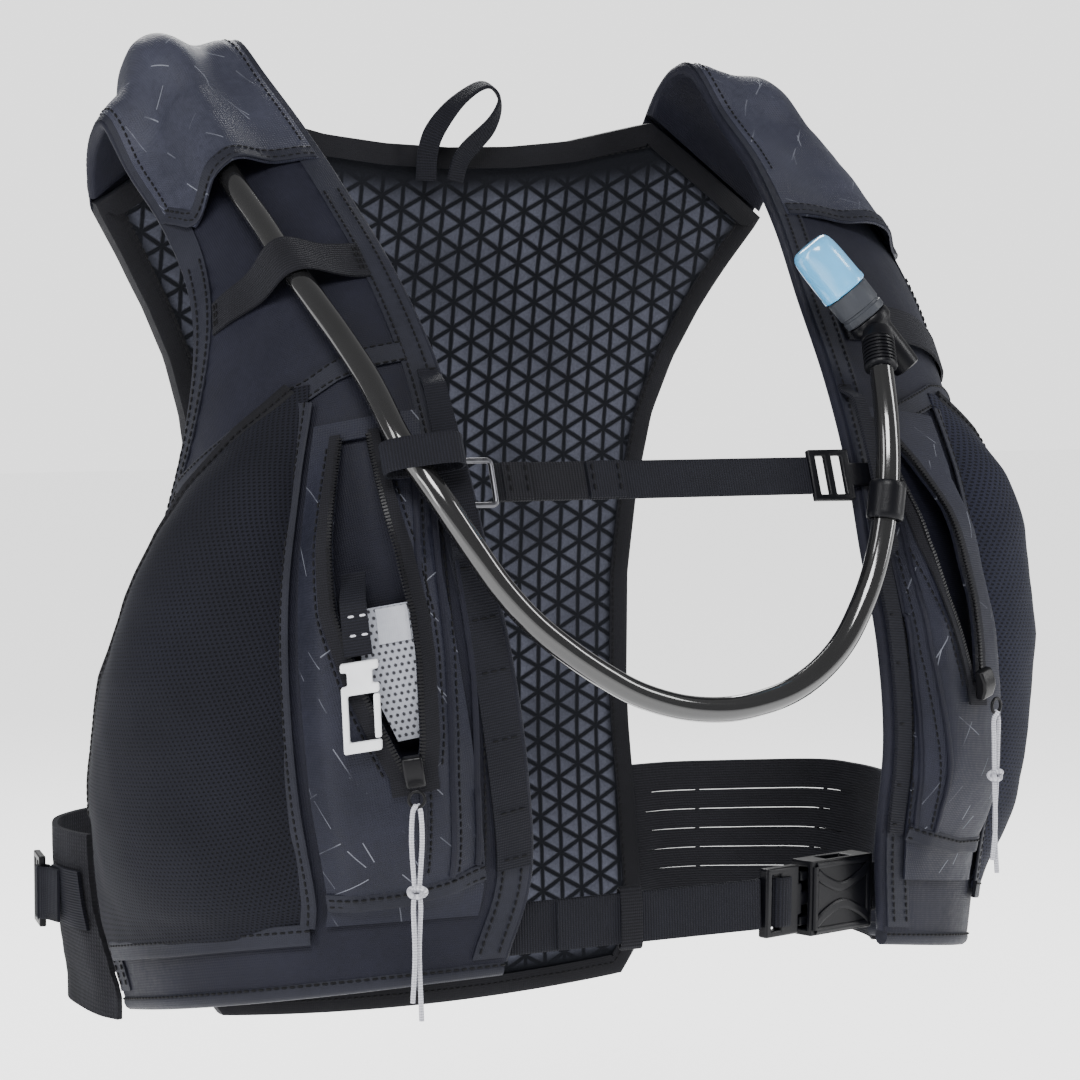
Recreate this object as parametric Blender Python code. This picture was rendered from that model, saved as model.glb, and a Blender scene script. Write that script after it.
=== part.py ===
"""Vest-style hydration pack, worn over both shoulders, as separate sewn and moulded pieces.

The wearer faces -Y, the wearer's left is +X and +Z is up. The origin is at shoulder-top height,
on the wearer's mid-plane. Lengths below are in millimetres; make_object() turns them to metres.
"""
import math

import bmesh
import bpy
from mathutils import Matrix, Vector

MM = 0.001

# ---------------------------------------------------------------- driving dimensions (mm)
GAP = 0.4                     # clearance between two pieces that touch
STRAP_THICK = 5.0             # spacer-mesh shoulder strap and front panel
FABRIC = 1.2                  # one layer of pocket or flap fabric
PAD_THICK = 8.0               # embossed foam back pad
HOSE_D = 9.5                  # drinking hose, outside
WAIST_WEB = 20.0              # waist webbing width
STERNUM_WEB = 15.0            # chest webbing width
WEB_THICK = 1.6
REAR_BULGE = 46.0             # how far the rear compartment stands off the back pad
TAPE_TOP = 2.1                # zip tape's outer face above the pocket it is sewn to
SIDES = ("right", "left")

# Stations along each front panel, from the rear shoulder seam over the shoulder to the hem:
# medial edge (x, y, z), lateral edge (x, y, z), crown (outward bulge at mid-width).
RIGHT_STATIONS = (
    ((-99, 71.5, -26), (-158, 76, -66), 3),
    ((-101, 69, -13), (-161, 70, -52), 4),
    ((-103, 59, -4), (-163, 58, -41), 5),
    ((-103, 46, -3), (-163, 43, -37), 6),
    ((-98, 32, -17), (-156, 33, -57), 8),
    ((-92, 5, -40), (-150, 14, -77), 9),
    ((-88, -27, -66), (-148, -8, -100), 10),
    ((-86, -64, -95), (-149, -20, -125), 14),
    ((-84, -97, -129), (-152, -18, -158), 22),
    ((-83, -119, -163), (-156, -5, -194), 32),
    ((-79, -130, -198), (-163, 10, -230), 40),
    ((-71, -133, -234), (-171, 20, -266), 46),
    ((-62, -129, -276), (-176, 25, -306), 48),
    ((-54, -118, -322), (-175, 22, -347), 46),
    ((-62, -113, -356), (-170, 8, -382), 44),
)
LEFT_STATIONS = (
    ((99, 71.5, -26), (158, 76, -66), 3),
    ((104, 69, -13), (163, 70, -52), 4),
    ((107, 59, -4), (167, 58, -42), 5),
    ((109, 46, -5), (169, 44, -40), 6),
    ((114, 31, -26), (176, 30, -58), 8),
    ((114, 4, -47), (184, 10, -80), 9),
    ((107, -30, -73), (190, -4, -104), 12),
    ((97, -65, -103), (194, -14, -130), 16),
    ((91, -97, -137), (197, -14, -162), 22),
    ((87, -120, -170), (200, -4, -196), 30),
    ((88, -130, -205), (203, 8, -232), 36),
    ((94, -133, -241), (204, 18, -268), 40),
    ((100, -129, -281), (201, 22, -308), 42),
    ((103, -119, -322), (193, 18, -348), 40),
    ((108, -113, -360), (182, 6, -384), 36),
)
LAST = len(RIGHT_STATIONS) - 1

# Back panel: depth along the spine (z, y), neckline (x, z) and side edge (v, x, z),
# where v runs from the neck corner (0) to the bottom corner (1).
SPINE = ((-418, 90), (-300, 98), (-230, 97), (-160, 91), (-100, 81), (-66, 72), (-42, 66.5), (-20, 64.5))
NECK = ((0, -42), (30, -41), (58, -38), (80, -33), (98, -29))
PAD_SIDE = ((0, 98, -29), (0.1, 157, -69), (0.16, 143, -90), (0.21, 131, -110), (0.27, 120, -132),
            (0.33, 112, -156), (0.42, 106, -190), (0.52, 103, -230), (0.65, 103, -280),
            (0.78, 106, -330), (0.89, 108, -375), (0.96, 106, -400), (1, 97, -413))
SHELL_SIDE = ((0, 92, -62), (0.06, 112, -76), (0.12, 122, -98), (0.22, 110, -130), (0.34, 100, -165),
              (0.45, 94, -200), (0.6, 92, -245), (0.75, 93, -300), (0.88, 95, -350), (0.95, 93, -388),
              (1, 84, -404))


# ---------------------------------------------------------------- maths
def interp(table, x):
    """Straight-line reading of a sorted table of (x, value) pairs."""
    if x <= table[0][0]:
        return table[0][1]
    for (x0, y0), (x1, y1) in zip(table, table[1:]):
        if x <= x1:
            return y0 + (y1 - y0) * (x - x0) / (x1 - x0)
    return table[-1][1]


def ramp(x, start, end):
    """Smooth 0 to 1 step between start and end."""
    k = min(max((x - start) / (end - start), 0.0), 1.0)
    return k * k * (3 - 2 * k)


def spline(points, t):
    """Catmull-Rom curve through equally spaced control points, t in 0..len-1."""
    last = len(points) - 1
    t = min(max(t, 0.0), last)
    i = min(int(t), last - 1)
    f = t - i
    b, c = points[i], points[i + 1]
    a = points[i - 1] if i > 0 else b * 2 - c
    d = points[i + 2] if i + 2 <= last else c * 2 - b
    return (b * 2 + (c - a) * f + (a * 2 - b * 5 + c * 4 - d) * f ** 2
            + (b * 3 - a - c * 3 + d) * f ** 3) * 0.5


class Panel:
    """One shoulder strap and front panel as a smooth ribbon: t along it, u from medial to lateral."""

    def __init__(self, stations, sign):
        self.medial = [Vector(s[0]) for s in stations]
        self.lateral = [Vector(s[1]) for s in stations]
        self.crown = [Vector((s[2], 0, 0)) for s in stations]
        self.sign = sign

    def middle(self, t):
        return (spline(self.medial, t) + spline(self.lateral, t)) * 0.5

    def base(self, t, u):
        near, far = spline(self.medial, t), spline(self.lateral, t)
        along = self.middle(t + 0.02) - self.middle(t - 0.02)
        if t + 0.02 > LAST:
            along = self.middle(LAST) - self.middle(LAST - 0.04)
        if t < 0.02:
            along = self.middle(0.04) - self.middle(0)
        out = (far - near).cross(along).normalized() * -self.sign
        return near + (far - near) * u + out * (spline(self.crown, t).x * 4 * u * (1 - u))

    def normal(self, t, u):
        e = 0.01
        across = self.base(t, min(u + e, 1)) - self.base(t, max(u - e, 0))
        along = self.base(min(t + e, LAST), u) - self.base(max(t - e, 0), u)
        return across.cross(along).normalized() * -self.sign

    def at(self, t, u, h=0.0):
        """Point h above the panel's outer face."""
        return self.base(t, u) + self.normal(t, u) * h


PANEL = {"right": Panel(RIGHT_STATIONS, -1), "left": Panel(LEFT_STATIONS, 1)}


def back_y(x, z):
    """Depth of the back pad's wearer-side face."""
    return interp(SPINE, z) - 0.00015 * x * x


def outline_point(side, top, bottom_z, s, v):
    """Point (x, z) of a shield-shaped outline: s across (-1..1), v down (0..1)."""
    half = interp([(p[0], p[1]) for p in side], v)
    drop = interp([(p[0], p[2]) for p in side], v)
    top_x, bottom_x = side[0][1], side[-1][1]
    width = half - ((1 - v) * top_x + v * bottom_x)
    height = drop - ((1 - v) * side[0][2] + v * side[-1][2])
    low = bottom_z + (side[-1][2] - bottom_z) * s * s
    x = (1 - v) * top_x * s + v * bottom_x * s + width * s
    z = (1 - v) * interp(top, abs(s) * top_x) + v * low + height
    return x, z


def pad_at(s, v, depth=0.0):
    """Point of the back pad; depth is measured backwards from the wearer's side."""
    x, z = outline_point(PAD_SIDE, NECK, -418, s, v)
    return Vector((x, back_y(x, z) + depth, z))


def shell_at(s, v, depth=0.0):
    """Point of the rear compartment's outer face, standing off the pad like a filled bag."""
    x, z = outline_point(SHELL_SIDE, ((0, -65), (92, -62)), -409, s, v)
    power = 2 + ramp(v, 0.075, 0.13)        # the zip's rows follow an arc, which the slider can run along
    bulge = (1 - abs(s) ** power) * (1 - abs(2 * v - 1) ** 4) ** 0.8 if 0 < v < 1 else 0.0
    exit_lift = 18.0 * math.exp(-((x + 110) / 17) ** 2 - ((z + 86) / 20) ** 2)
    stand_off = max(2.2 + (REAR_BULGE - 2.2) * bulge, 2.2 + exit_lift)
    return Vector((x, back_y(x, z) + PAD_THICK + stand_off + depth, z))


# ---------------------------------------------------------------- mesh builders
def clear_scene():
    for thing in list(bpy.data.objects):
        bpy.data.objects.remove(thing, do_unlink=True)


def material(name, colour, roughness, metallic=0.0):
    found = bpy.data.materials.get(name)
    if found:
        return found
    mat = bpy.data.materials.new(name)
    mat.use_nodes = True
    shader = mat.node_tree.nodes["Principled BSDF"]
    shader.inputs["Base Color"].default_value = (*colour, 1)
    shader.inputs["Roughness"].default_value = roughness
    shader.inputs["Metallic"].default_value = metallic
    return mat


COLOURS = {
    "ripstop": (0.026, 0.028, 0.040), "spacer_mesh": (0.018, 0.019, 0.024),
    "stretch_mesh": (0.012, 0.013, 0.016), "foam_pad": (0.045, 0.050, 0.065),
    "webbing": (0.035, 0.036, 0.048), "elastic": (0.006, 0.006, 0.007),
    "moulded_black": (0.020, 0.021, 0.026), "hose": (0.040, 0.041, 0.040),
    "zip_black": (0.012, 0.012, 0.014), "grey_cord": (0.45, 0.45, 0.49),
    "grey_mesh": (0.36, 0.37, 0.41), "pale_plastic": (0.78, 0.79, 0.81),
    "blue_cap": (0.33, 0.67, 0.90), "steel": (0.62, 0.63, 0.65), "bladder": (0.45, 0.62, 0.75),
    "silicone": (0.07, 0.075, 0.085),
}
FINISH = {"steel": (0.25, 1.0), "hose": (0.2, 0.0), "blue_cap": (0.25, 0.0), "moulded_black": (0.38, 0.0),
          "pale_plastic": (0.35, 0.0), "bladder": (0.3, 0.0), "silicone": (0.45, 0.0)}


def finish(obj, kind):
    roughness, metallic = FINISH.get(kind, (0.8, 0.0))
    obj.data.materials.append(material(kind, COLOURS[kind], roughness, metallic))
    return obj


def make_object(name, verts, faces, kind, pivot=None, smooth=True):
    """Closed mesh from millimetre points; the origin is put at pivot, when there is one."""
    pivot = Vector(pivot) if pivot is not None else Vector((0, 0, 0))
    mesh = bpy.data.meshes.new(name)
    mesh.from_pydata([tuple((Vector(p) - pivot) * MM) for p in verts], [], faces)
    bm = bmesh.new()
    bm.from_mesh(mesh)
    bmesh.ops.recalc_face_normals(bm, faces=bm.faces)
    if bm.calc_volume(signed=True) < 0:
        bmesh.ops.reverse_faces(bm, faces=bm.faces)
    bm.to_mesh(mesh)
    bm.free()
    if smooth:
        mesh.shade_smooth()
        mesh.set_sharp_from_angle(angle=math.radians(40))
    obj = bpy.data.objects.new(name, mesh)
    obj.location = pivot * MM
    bpy.context.scene.collection.objects.link(obj)
    return finish(obj, kind)


def slab(name, outer, inner, kind, keep=None, pivot=None, wrap=False):
    """Closed body between two grids of points; keep(i, j) says which cells are solid."""
    rows, cols = len(outer), len(outer[0])
    cells_across = cols if wrap else cols - 1
    solid = {(i, j) for i in range(rows - 1) for j in range(cells_across) if keep is None or keep(i, j)}
    index, verts, faces = {}, [], []

    def vert(i, j, layer):
        key = (i, j % cols, layer)
        if key not in index:
            index[key] = len(verts)
            verts.append((outer if layer == 0 else inner)[i][j % cols])
        return index[key]

    def wall(a, b):
        faces.append((vert(*a, 0), vert(*b, 0), vert(*b, 1), vert(*a, 1)))

    for i, j in sorted(solid):
        ring = ((i, j), (i, j + 1), (i + 1, j + 1), (i + 1, j))
        faces.append(tuple(vert(*c, 0) for c in ring))
        faces.append(tuple(vert(*c, 1) for c in reversed(ring)))
        left, right = (i, j - 1), (i, j + 1)
        if wrap:
            left, right = (i, (j - 1) % cols), (i, (j + 1) % cols)
        for other, a, b in (((i - 1, j), ring[0], ring[1]), (right, ring[1], ring[2]),
                            ((i + 1, j), ring[2], ring[3]), (left, ring[3], ring[0])):
            if other not in solid:
                wall(a, b)
    return make_object(name, verts, faces, kind, pivot)


def panel_slab(name, side, t_values, u_values, low, high, kind, keep=None, pivot=None):
    """Slab that follows a panel; u_values, low and high may be functions of t or of (t, u)."""
    panel = PANEL[side]
    outer, inner = [], []
    for t in t_values:
        us = u_values(t) if callable(u_values) else u_values
        outer.append([panel.at(t, u, high(t, u) if callable(high) else high) for u in us])
        inner.append([panel.at(t, u, low(t, u) if callable(low) else low) for u in us])
    return slab(name, outer, inner, kind, keep, pivot)


def steps(start, end, count):
    return [start + (end - start) * i / count for i in range(count + 1)]


def plate(name, origin, across, down, xs, ys, thick, kind, keep=None, pivot=None, bend=None):
    """Flat or bent plate in a local frame: cells of the xs by ys grid, thick along the plate's normal."""
    across, down = Vector(across).normalized(), Vector(down).normalized()
    out = across.cross(down).normalized()
    origin = Vector(origin)

    def place(x, y, h):
        lift = bend(x, y) if bend else 0.0
        return origin + across * x + down * y + out * (h + lift)

    outer = [[place(x, y, thick / 2) for x in xs] for y in ys]
    inner = [[place(x, y, -thick / 2) for x in xs] for y in ys]
    return slab(name, outer, inner, kind, keep, pivot)


def tube(name, points, radius, kind, closed=False, resolution=2, pivot=None):
    """Round cord or wire as a curve object with a bevel and filled caps."""
    pivot = Vector(pivot) if pivot is not None else Vector((0, 0, 0))
    curve = bpy.data.curves.new(name, "CURVE")
    curve.dimensions = "3D"
    curve.bevel_depth = radius * MM
    curve.bevel_resolution = resolution
    curve.render_resolution_u = 0
    curve.use_fill_caps = not closed
    line = curve.splines.new("POLY")
    line.points.add(len(points) - 1)
    line.use_cyclic_u = closed
    for spot, point in zip(line.points, points):
        spot.co = (*((Vector(point) - pivot) * MM), 1)
    obj = bpy.data.objects.new(name, curve)
    obj.location = pivot * MM
    bpy.context.scene.collection.objects.link(obj)
    return finish(obj, kind)


def sample(points, count):
    """Evenly counted points along a smooth curve through the given ones."""
    control = [Vector(p) for p in points]
    return [spline(control, (len(control) - 1) * i / count) for i in range(count + 1)]


def turned(name, start, axis, profile, kind, sides=20, pivot=None):
    """Solid of revolution: profile is (distance along the axis, radius), closed by flat ends."""
    axis = Vector(axis).normalized()
    start = Vector(start)
    spin = axis.orthogonal().normalized()
    verts, faces = [], []
    for distance, radius in profile:
        for k in range(sides):
            arm = Matrix.Rotation(2 * math.pi * k / sides, 3, axis) @ spin
            verts.append(start + axis * distance + arm * radius)
    for ring in range(len(profile) - 1):
        for k in range(sides):
            a, b = ring * sides + k, ring * sides + (k + 1) % sides
            faces.append((a, b, b + sides, a + sides))
    faces.append(tuple(range(sides))[::-1])
    faces.append(tuple(range((len(profile) - 1) * sides, len(profile) * sides)))
    return make_object(name, verts, faces, kind, pivot)


# ---------------------------------------------------------------- heights above the panels
HOSE_U = {"right": ((0, 0.5), (4.5, 0.53), (5.52, 0.54), (6.24, 0.49), (6.9, 0.42), (7.41, 0.33),
                    (7.86, 0.25),
                    (8.36, 0.18), (8.9, 0.125), (9.3, 0.09))}
ZIP_SPAN = {"right": (8.75, 11.85), "left": (8.6, 11.4)}
ZIP_MEDIAL = {"right": ((8.7, 0.200), (9.9, 0.150), (10.5, 0.140), (10.9, 0.142), (11.6, 0.155),
                        (11.85, 0.166)),
              "left": ((8.6, 0.078), (9.3, 0.085), (9.9, 0.096), (10.5, 0.115), (11.0, 0.140),
                       (11.4, 0.158))}
ZIP_LATERAL = {"right": ((8.7, 0.262), (9.75, 0.262), (10.4, 0.258), (11.16, 0.222), (11.66, 0.190),
                         (11.85, 0.177)),
               "left": ((8.6, 0.090), (9.0, 0.135), (9.5, 0.170), (9.9, 0.182), (10.5, 0.187), (11.0, 0.180),
                        (11.4, 0.171))}
POCKET_U = {"right": (0.075, 0.100, 0.300, 0.345), "left": (0.046, 0.053, 0.270, 0.330)}
TAPE_W = {"right": 0.030, "left": 0.020}
MOUTH_U = ((8.1, 0.44), (8.5, 0.58), (8.9, 0.66), (9.4, 0.74), (10.0, 0.79), (10.6, 0.83), (11.0, 0.86),
           (11.6, 0.92), (12.2, 0.965), (13.7, 0.97))
MOUTH_LIFT = ((8.1, 2.0), (8.5, 8.0), (9.0, 12.0), (10.0, 13.0), (10.8, 13.0), (11.4, 9.0), (12.2, 2.2),
              (13.7, 2.0))
MESH_MEDIAL_U = 0.375


def zip_face(side, t, u):
    """Outer face of the zipped front pocket above the panel."""
    first, inner, outer, last = POCKET_U[side]
    rise = ramp(u, first, inner + 0.045) * ramp(last + 0.01 - u, 0.0, 0.07)
    return 2.0 + 9.5 * rise * ramp(t, 8.6, 9.8) * ramp(13.5 - t, 0.0, 1.4)


def mesh_face(t, u):
    """Outer face of the stretch-mesh pocket above the panel."""
    s = (u - MESH_MEDIAL_U) / (interp(MOUTH_U, t) - MESH_MEDIAL_U)
    swell = 13.0 * 4 * s * (1 - s) * ramp(t, 8.1, 9.6) * ramp(13.8 - t, 0.0, 1.6)
    return 2.0 + (interp(MOUTH_LIFT, t) - 2.0) * s + swell


# ---------------------------------------------------------------- the sewn body
def back_panel():
    vs = [p[0] for p in PAD_SIDE]
    ss = steps(-1, 1, 14)
    slab("back_pad", [[pad_at(s, v, PAD_THICK) for s in ss] for v in vs],
         [[pad_at(s, v) for s in ss] for v in vs], "foam_pad")
    rim = [0, 0.03] + vs[1:-1] + [0.98, 1]
    edge = [-1, -0.92] + steps(-0.7, 0.7, 6) + [0.92, 1]
    slab("back_binding", [[pad_at(s, v, -GAP - 1) for s in edge] for v in rim],
         [[pad_at(s, v, -0.7) for s in edge] for v in rim], "elastic",
         keep=lambda i, j: i in (0, len(rim) - 2) or j in (0, len(edge) - 2))
    loop = [(-13, 64, -56), (-13, 62, -44), (-10, 60, -34), (0, 59, -22), (12, 58, -15), (19, 58, -21),
            (15, 58, -32),
            (3, 60, -45), (0, 63, -56)]
    path = sample(loop, 22)
    slab("hang_loop", [[p + Vector((0, d, 0)) for d in (-6.4, 1.6)] for p in path],
         [[p + (path[max(i - 1, 0)] - path[min(i + 1, 22)]).cross(Vector((0, 1, 0))).normalized() * 1.5
           + Vector((0, d, 0)) for d in (-6.4, 1.6)] for i, p in enumerate(path)], "webbing")


SHELL_S = (-1, -0.93, -0.85, -0.74, -0.6, -0.4, -0.2, 0, 0.2, 0.4, 0.6, 0.74, 0.85, 0.93, 1)
SHELL_V = (0, 0.03, 0.045, 0.0575, 0.0725, 0.085, 0.12, 0.17, 0.25, 0.34, 0.42, 0.5, 0.6, 0.7, 0.8, 0.88,
           0.93, 0.97, 1)


def shell_layer(name, columns, rows, low, high, kind, keep=None):
    """Piece lying on the rear compartment, on the compartment's own grid so that the gap stays even."""
    slab(name, [[shell_at(s, v, high(s, v)) for s in columns] for v in rows],
         [[shell_at(s, v, low(s, v)) for s in columns] for v in rows], kind, keep)


def rear_compartment():
    shell_layer("rear_shell", SHELL_S, SHELL_V, lambda s, v: -FABRIC, lambda s, v: 0.0, "ripstop",
                keep=lambda i, j: not (i == 3 and 3 <= j <= 10))
    shell_layer("rear_zip_tape", SHELL_S[2:-2], SHELL_V[2:6], lambda s, v: GAP, lambda s, v: TAPE_TOP,
                "zip_black")

    def lift(s, v):
        return GAP + 2.0 + 12 * (1 - (abs(s) / 0.86) ** 4) * ramp(0.97 - v, 0.0, 0.55)

    shell_layer("rear_mesh_pocket", SHELL_S[2:-2], SHELL_V[10:-1], lambda s, v: lift(s, v) - 1.0, lift,
                "stretch_mesh")

    def bow(v):
        return 1.3 + 4.2 * (1 - ((v - 0.24) / 0.05) ** 4)

    shell_layer("light_loop", (-0.11, -0.04, 0.04, 0.11), steps(0.19, 0.29, 6), lambda s, v: bow(v),
                lambda s, v: bow(v) + 1.4, "webbing")


BLADDER_X, BLADDER_Z = 66, (-344, -124)
PORT = Vector((-30, 0, -300))
PORT_FACE = PAD_THICK + 19.2


def reservoir():
    xs = steps(-1, 1, 10)
    zs = steps(0, 1, 12)

    def skin(s, v, near):
        x = 4 + BLADDER_X * s
        z = BLADDER_Z[1] + (BLADDER_Z[0] - BLADDER_Z[1]) * v
        puff = ((1 - abs(s) ** 3) * (1 - abs(2 * v - 1) ** 5)) ** 0.7 if abs(s) < 1 and 0 < v < 1 else 0.0
        return Vector((x, back_y(x, z) + PAD_THICK + (2.0 if near else 4.5 + 15 * puff), z))

    slab("reservoir", [[skin(s, v, False) for s in xs] for v in zs],
         [[skin(s, v, True) for s in xs] for v in zs],
         "bladder")
    y = back_y(0, -117) + PAD_THICK + 3.6
    plate("reservoir_slide", (4, y + 3.0, -117.5), (1, 0, 0), (0, 0, -1), steps(-72, 72, 4), (-6, -2, 2, 6),
          6.5,
          "moulded_black")
    face = back_y(PORT.x, PORT.z) + PORT_FACE
    turned("reservoir_port", (PORT.x, face, PORT.z), (0, 1, 0), [(0, 15), (1, 17), (4, 17), (4.8, 15)],
           "moulded_black", 24)


def panels():
    ts = [0.12, 0.5] + steps(1, 13.5, 25) + [LAST]
    us = steps(0, 1, 8)
    for side in SIDES:
        panel_slab(f"{side}_front_panel", side, ts, us, -STRAP_THICK, 0.0, "spacer_mesh")
        hem = [PANEL[side].at(LAST, u, -STRAP_THICK / 2) for u in steps(0, 1, 24)]
        down = [(PANEL[side].at(LAST, u, -2.5) - PANEL[side].at(LAST - 0.1, u, -2.5)).normalized()
                for u in steps(0, 1, 24)]
        tube(f"{side}_hem_binding", [p + d * 3.3 for p, d in zip(hem, down)], 2.6, "webbing")


ELASTIC_T = {"right": (6.72, 7.12), "left": (7.2, 7.6)}


def tunnel_bump(side, t, u):
    centre, height = 0.53, 6.0
    if side == "right":
        centre, height = interp(HOSE_U["right"], t), 12.2
    return height * math.exp(-(abs(u - centre) / 0.17) ** 2.6)


def shoulder_flaps():
    us = (0.05, 0.15, 0.25, 0.33, 0.4, 0.46, 0.52, 0.58, 0.64, 0.71, 0.79, 0.87, 0.95)
    for side in SIDES:
        panel_slab(f"{side}_tunnel_flap", side, steps(0.7, 5.45, 13), us,
                   lambda t, u, side=side: 1.0 + tunnel_bump(side, t, u),
                   lambda t, u, side=side: 1.0 + FABRIC + tunnel_bump(side, t, u), "ripstop")

        def band_bump(t, u, side=side):
            if side == "right":
                return 11.8 * math.exp(-((u - interp(HOSE_U["right"], t)) / 0.135) ** 2)
            return 2.0 * math.exp(-((u - 0.42) / 0.2) ** 2)

        panel_slab(f"{side}_hose_elastic", side, steps(*ELASTIC_T[side], 2), steps(0.1, 0.88, 15),
                   lambda t, u: 1.0 + band_bump(t, u), lambda t, u: 2.1 + band_bump(t, u), "elastic")


def zip_rows(side):
    """Rows shared by a zip pocket and the tape sewn round its slit."""
    top, end = ZIP_SPAN[side]
    return [top - 0.2, top - 0.05, top] + steps(9.0, 11.25, 9) + [end, end + 0.15, 12.6, 13.0, 13.4]


def front_pockets():
    mesh_ts = [8.12, 8.4, 8.7] + steps(9.0, 13.5, 12)
    for side in SIDES:
        medial, lateral = ZIP_MEDIAL[side], ZIP_LATERAL[side]
        first, inner, outer, last = POCKET_U[side]
        zip_ts, end = zip_rows(side), ZIP_SPAN[side][1]

        def zip_us(t):
            near, far = interp(medial, t), interp(lateral, t)
            return (first, min(inner, near - TAPE_W[side] - 0.004), near - TAPE_W[side], near, far,
                    far + TAPE_W[side], outer, last)

        panel_slab(f"{side}_zip_pocket", side, zip_ts, zip_us, lambda t, u: zip_face(side, t, u) - FABRIC,
                   lambda t, u: zip_face(side, t, u), "ripstop",
                   keep=lambda i, j: not (j == 3 and 2 <= i < zip_ts.index(end)))

        def mesh_us(t):
            return [MESH_MEDIAL_U + (interp(MOUTH_U, t) - MESH_MEDIAL_U) * k / 6 for k in range(7)]

        panel_slab(f"{side}_mesh_pocket", side, mesh_ts, mesh_us, lambda t, u: mesh_face(t, u) - 1.0,
                   mesh_face,
                   "stretch_mesh")


def zip_tapes():
    for side in SIDES:
        medial, lateral = ZIP_MEDIAL[side], ZIP_LATERAL[side]
        rows = zip_rows(side)
        ts = rows[1:rows.index(ZIP_SPAN[side][1]) + 2]

        def tape_us(t):
            a, b = interp(medial, t), interp(lateral, t)
            return (a - TAPE_W[side], a - 0.003, b + 0.003, b + TAPE_W[side])

        panel_slab(f"{side}_zip_tape", side, ts, tape_us, lambda t, u: zip_face(side, t, u) + TAPE_TOP - 1.2,
                   lambda t, u: zip_face(side, t, u) + TAPE_TOP, "zip_black",
                   keep=lambda i, j: j != 1 or i == len(ts) - 2)


# ---------------------------------------------------------------- zip sliders and their cords
SLIDER_T = {"right": ((11.80, 0.171, 0.0), (10.2, 0.174, 0.5), (9.0, 0.200, 0.6)),
            "left": ((11.34, 0.164, 0.0), (10.2, 0.150, 0.0), (8.85, 0.100, 0.0))}
SLIDER_LIFT = TAPE_TOP + 1.0
SLIDER_SIZE = (7.5, 12.0, 3.4)
REAR_SLIDER_S = (-0.72, 0.0, 0.72)
REAR_ZIP_V = 0.065


def circle_axis(a, b, c):
    """Centre and axis of the circle through three points."""
    u, v = b - a, c - a
    n = u.cross(v)
    centre = a + (n.cross(u) * v.length_squared + v.cross(n) * u.length_squared) / (2 * n.length_squared)
    return centre, n.normalized()


def slider_track(name):
    """Rest point, half-way point and far point of a slider's middle, and its outward normal at rest."""
    half = SLIDER_SIZE[2] / 2
    if name == "rear":
        spots = [shell_at(s, REAR_ZIP_V, SLIDER_LIFT + half) for s in REAR_SLIDER_S]
        return spots, Vector((0, 1, 0))
    panel = PANEL[name]
    spots = [panel.at(t, u, zip_face(name, t, u) + SLIDER_LIFT + half + more) for t, u,
             more in SLIDER_T[name]]
    t, u, _ = SLIDER_T[name][0]
    return spots, panel.normal(t, u)


def puller(name, start, across, down, length, kind="grey_cord"):
    """Cord loop through the slider's eye, with a knot and a tail."""
    ys = [0, 2.2, length * 0.38, length * 0.38 + 3, length * 0.8, length * 0.86, length]
    plate(name, start, across, down, (-3.4, -1.2, 1.2, 3.4), ys, 2.4, kind, pivot=start,
          keep=lambda i, j: (j == 1 and i != 1) or (i in (0, 1, 2)))


def sliders():
    wide, long_, thick = SLIDER_SIZE
    for name, length in (("right", 84), ("left", 70), ("rear", 40)):
        spots, out = slider_track(name)
        centre, axis = circle_axis(*spots)
        along = (spots[0] - centre).cross(axis).normalized()
        if along.dot(spots[0] - spots[1]) < 0:
            along = -along
        out = (spots[0] - centre).normalized()
        if name == "rear":
            s = REAR_SLIDER_S[0]
            slope = shell_at(s, REAR_ZIP_V + 0.02) - shell_at(s, REAR_ZIP_V - 0.02)
            out = along.cross(slope).normalized()
            out = out if out.y > 0 else -out
            across = out.cross(along).normalized()
            down = (shell_at(s, REAR_ZIP_V + 0.1, 8) - shell_at(s, REAR_ZIP_V, 6)).normalized()
        else:
            across = along.cross(out).normalized()
            down = Vector((0, 0, -1))
        corners = [spots[0] + along * y for y in (-long_ / 2, -1.5, 1.5, long_ / 2)]
        xs = (-wide / 2, -1.3, 1.3, wide / 2)
        tall = {0: 0.0, 1: 1.6, 2: 1.6, 3: 0.0}
        slab(f"{name}_zip_slider", [[p + across * x + out * (thick / 2 + tall[i]) for x in xs]
                                    for i, p in enumerate(corners)],
             [[p + across * x - out * (thick / 2) for x in xs] for p in corners], "zip_black", pivot=centre)
        eye = spots[0] + along * (long_ / 2 - 1) + out * (thick / 2 + 2.2)
        side = out.cross(down).normalized()
        start = eye + down * 1.6 + out * 1.8
        puller(f"{name}_zip_pull", start, side, down, length)


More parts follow.
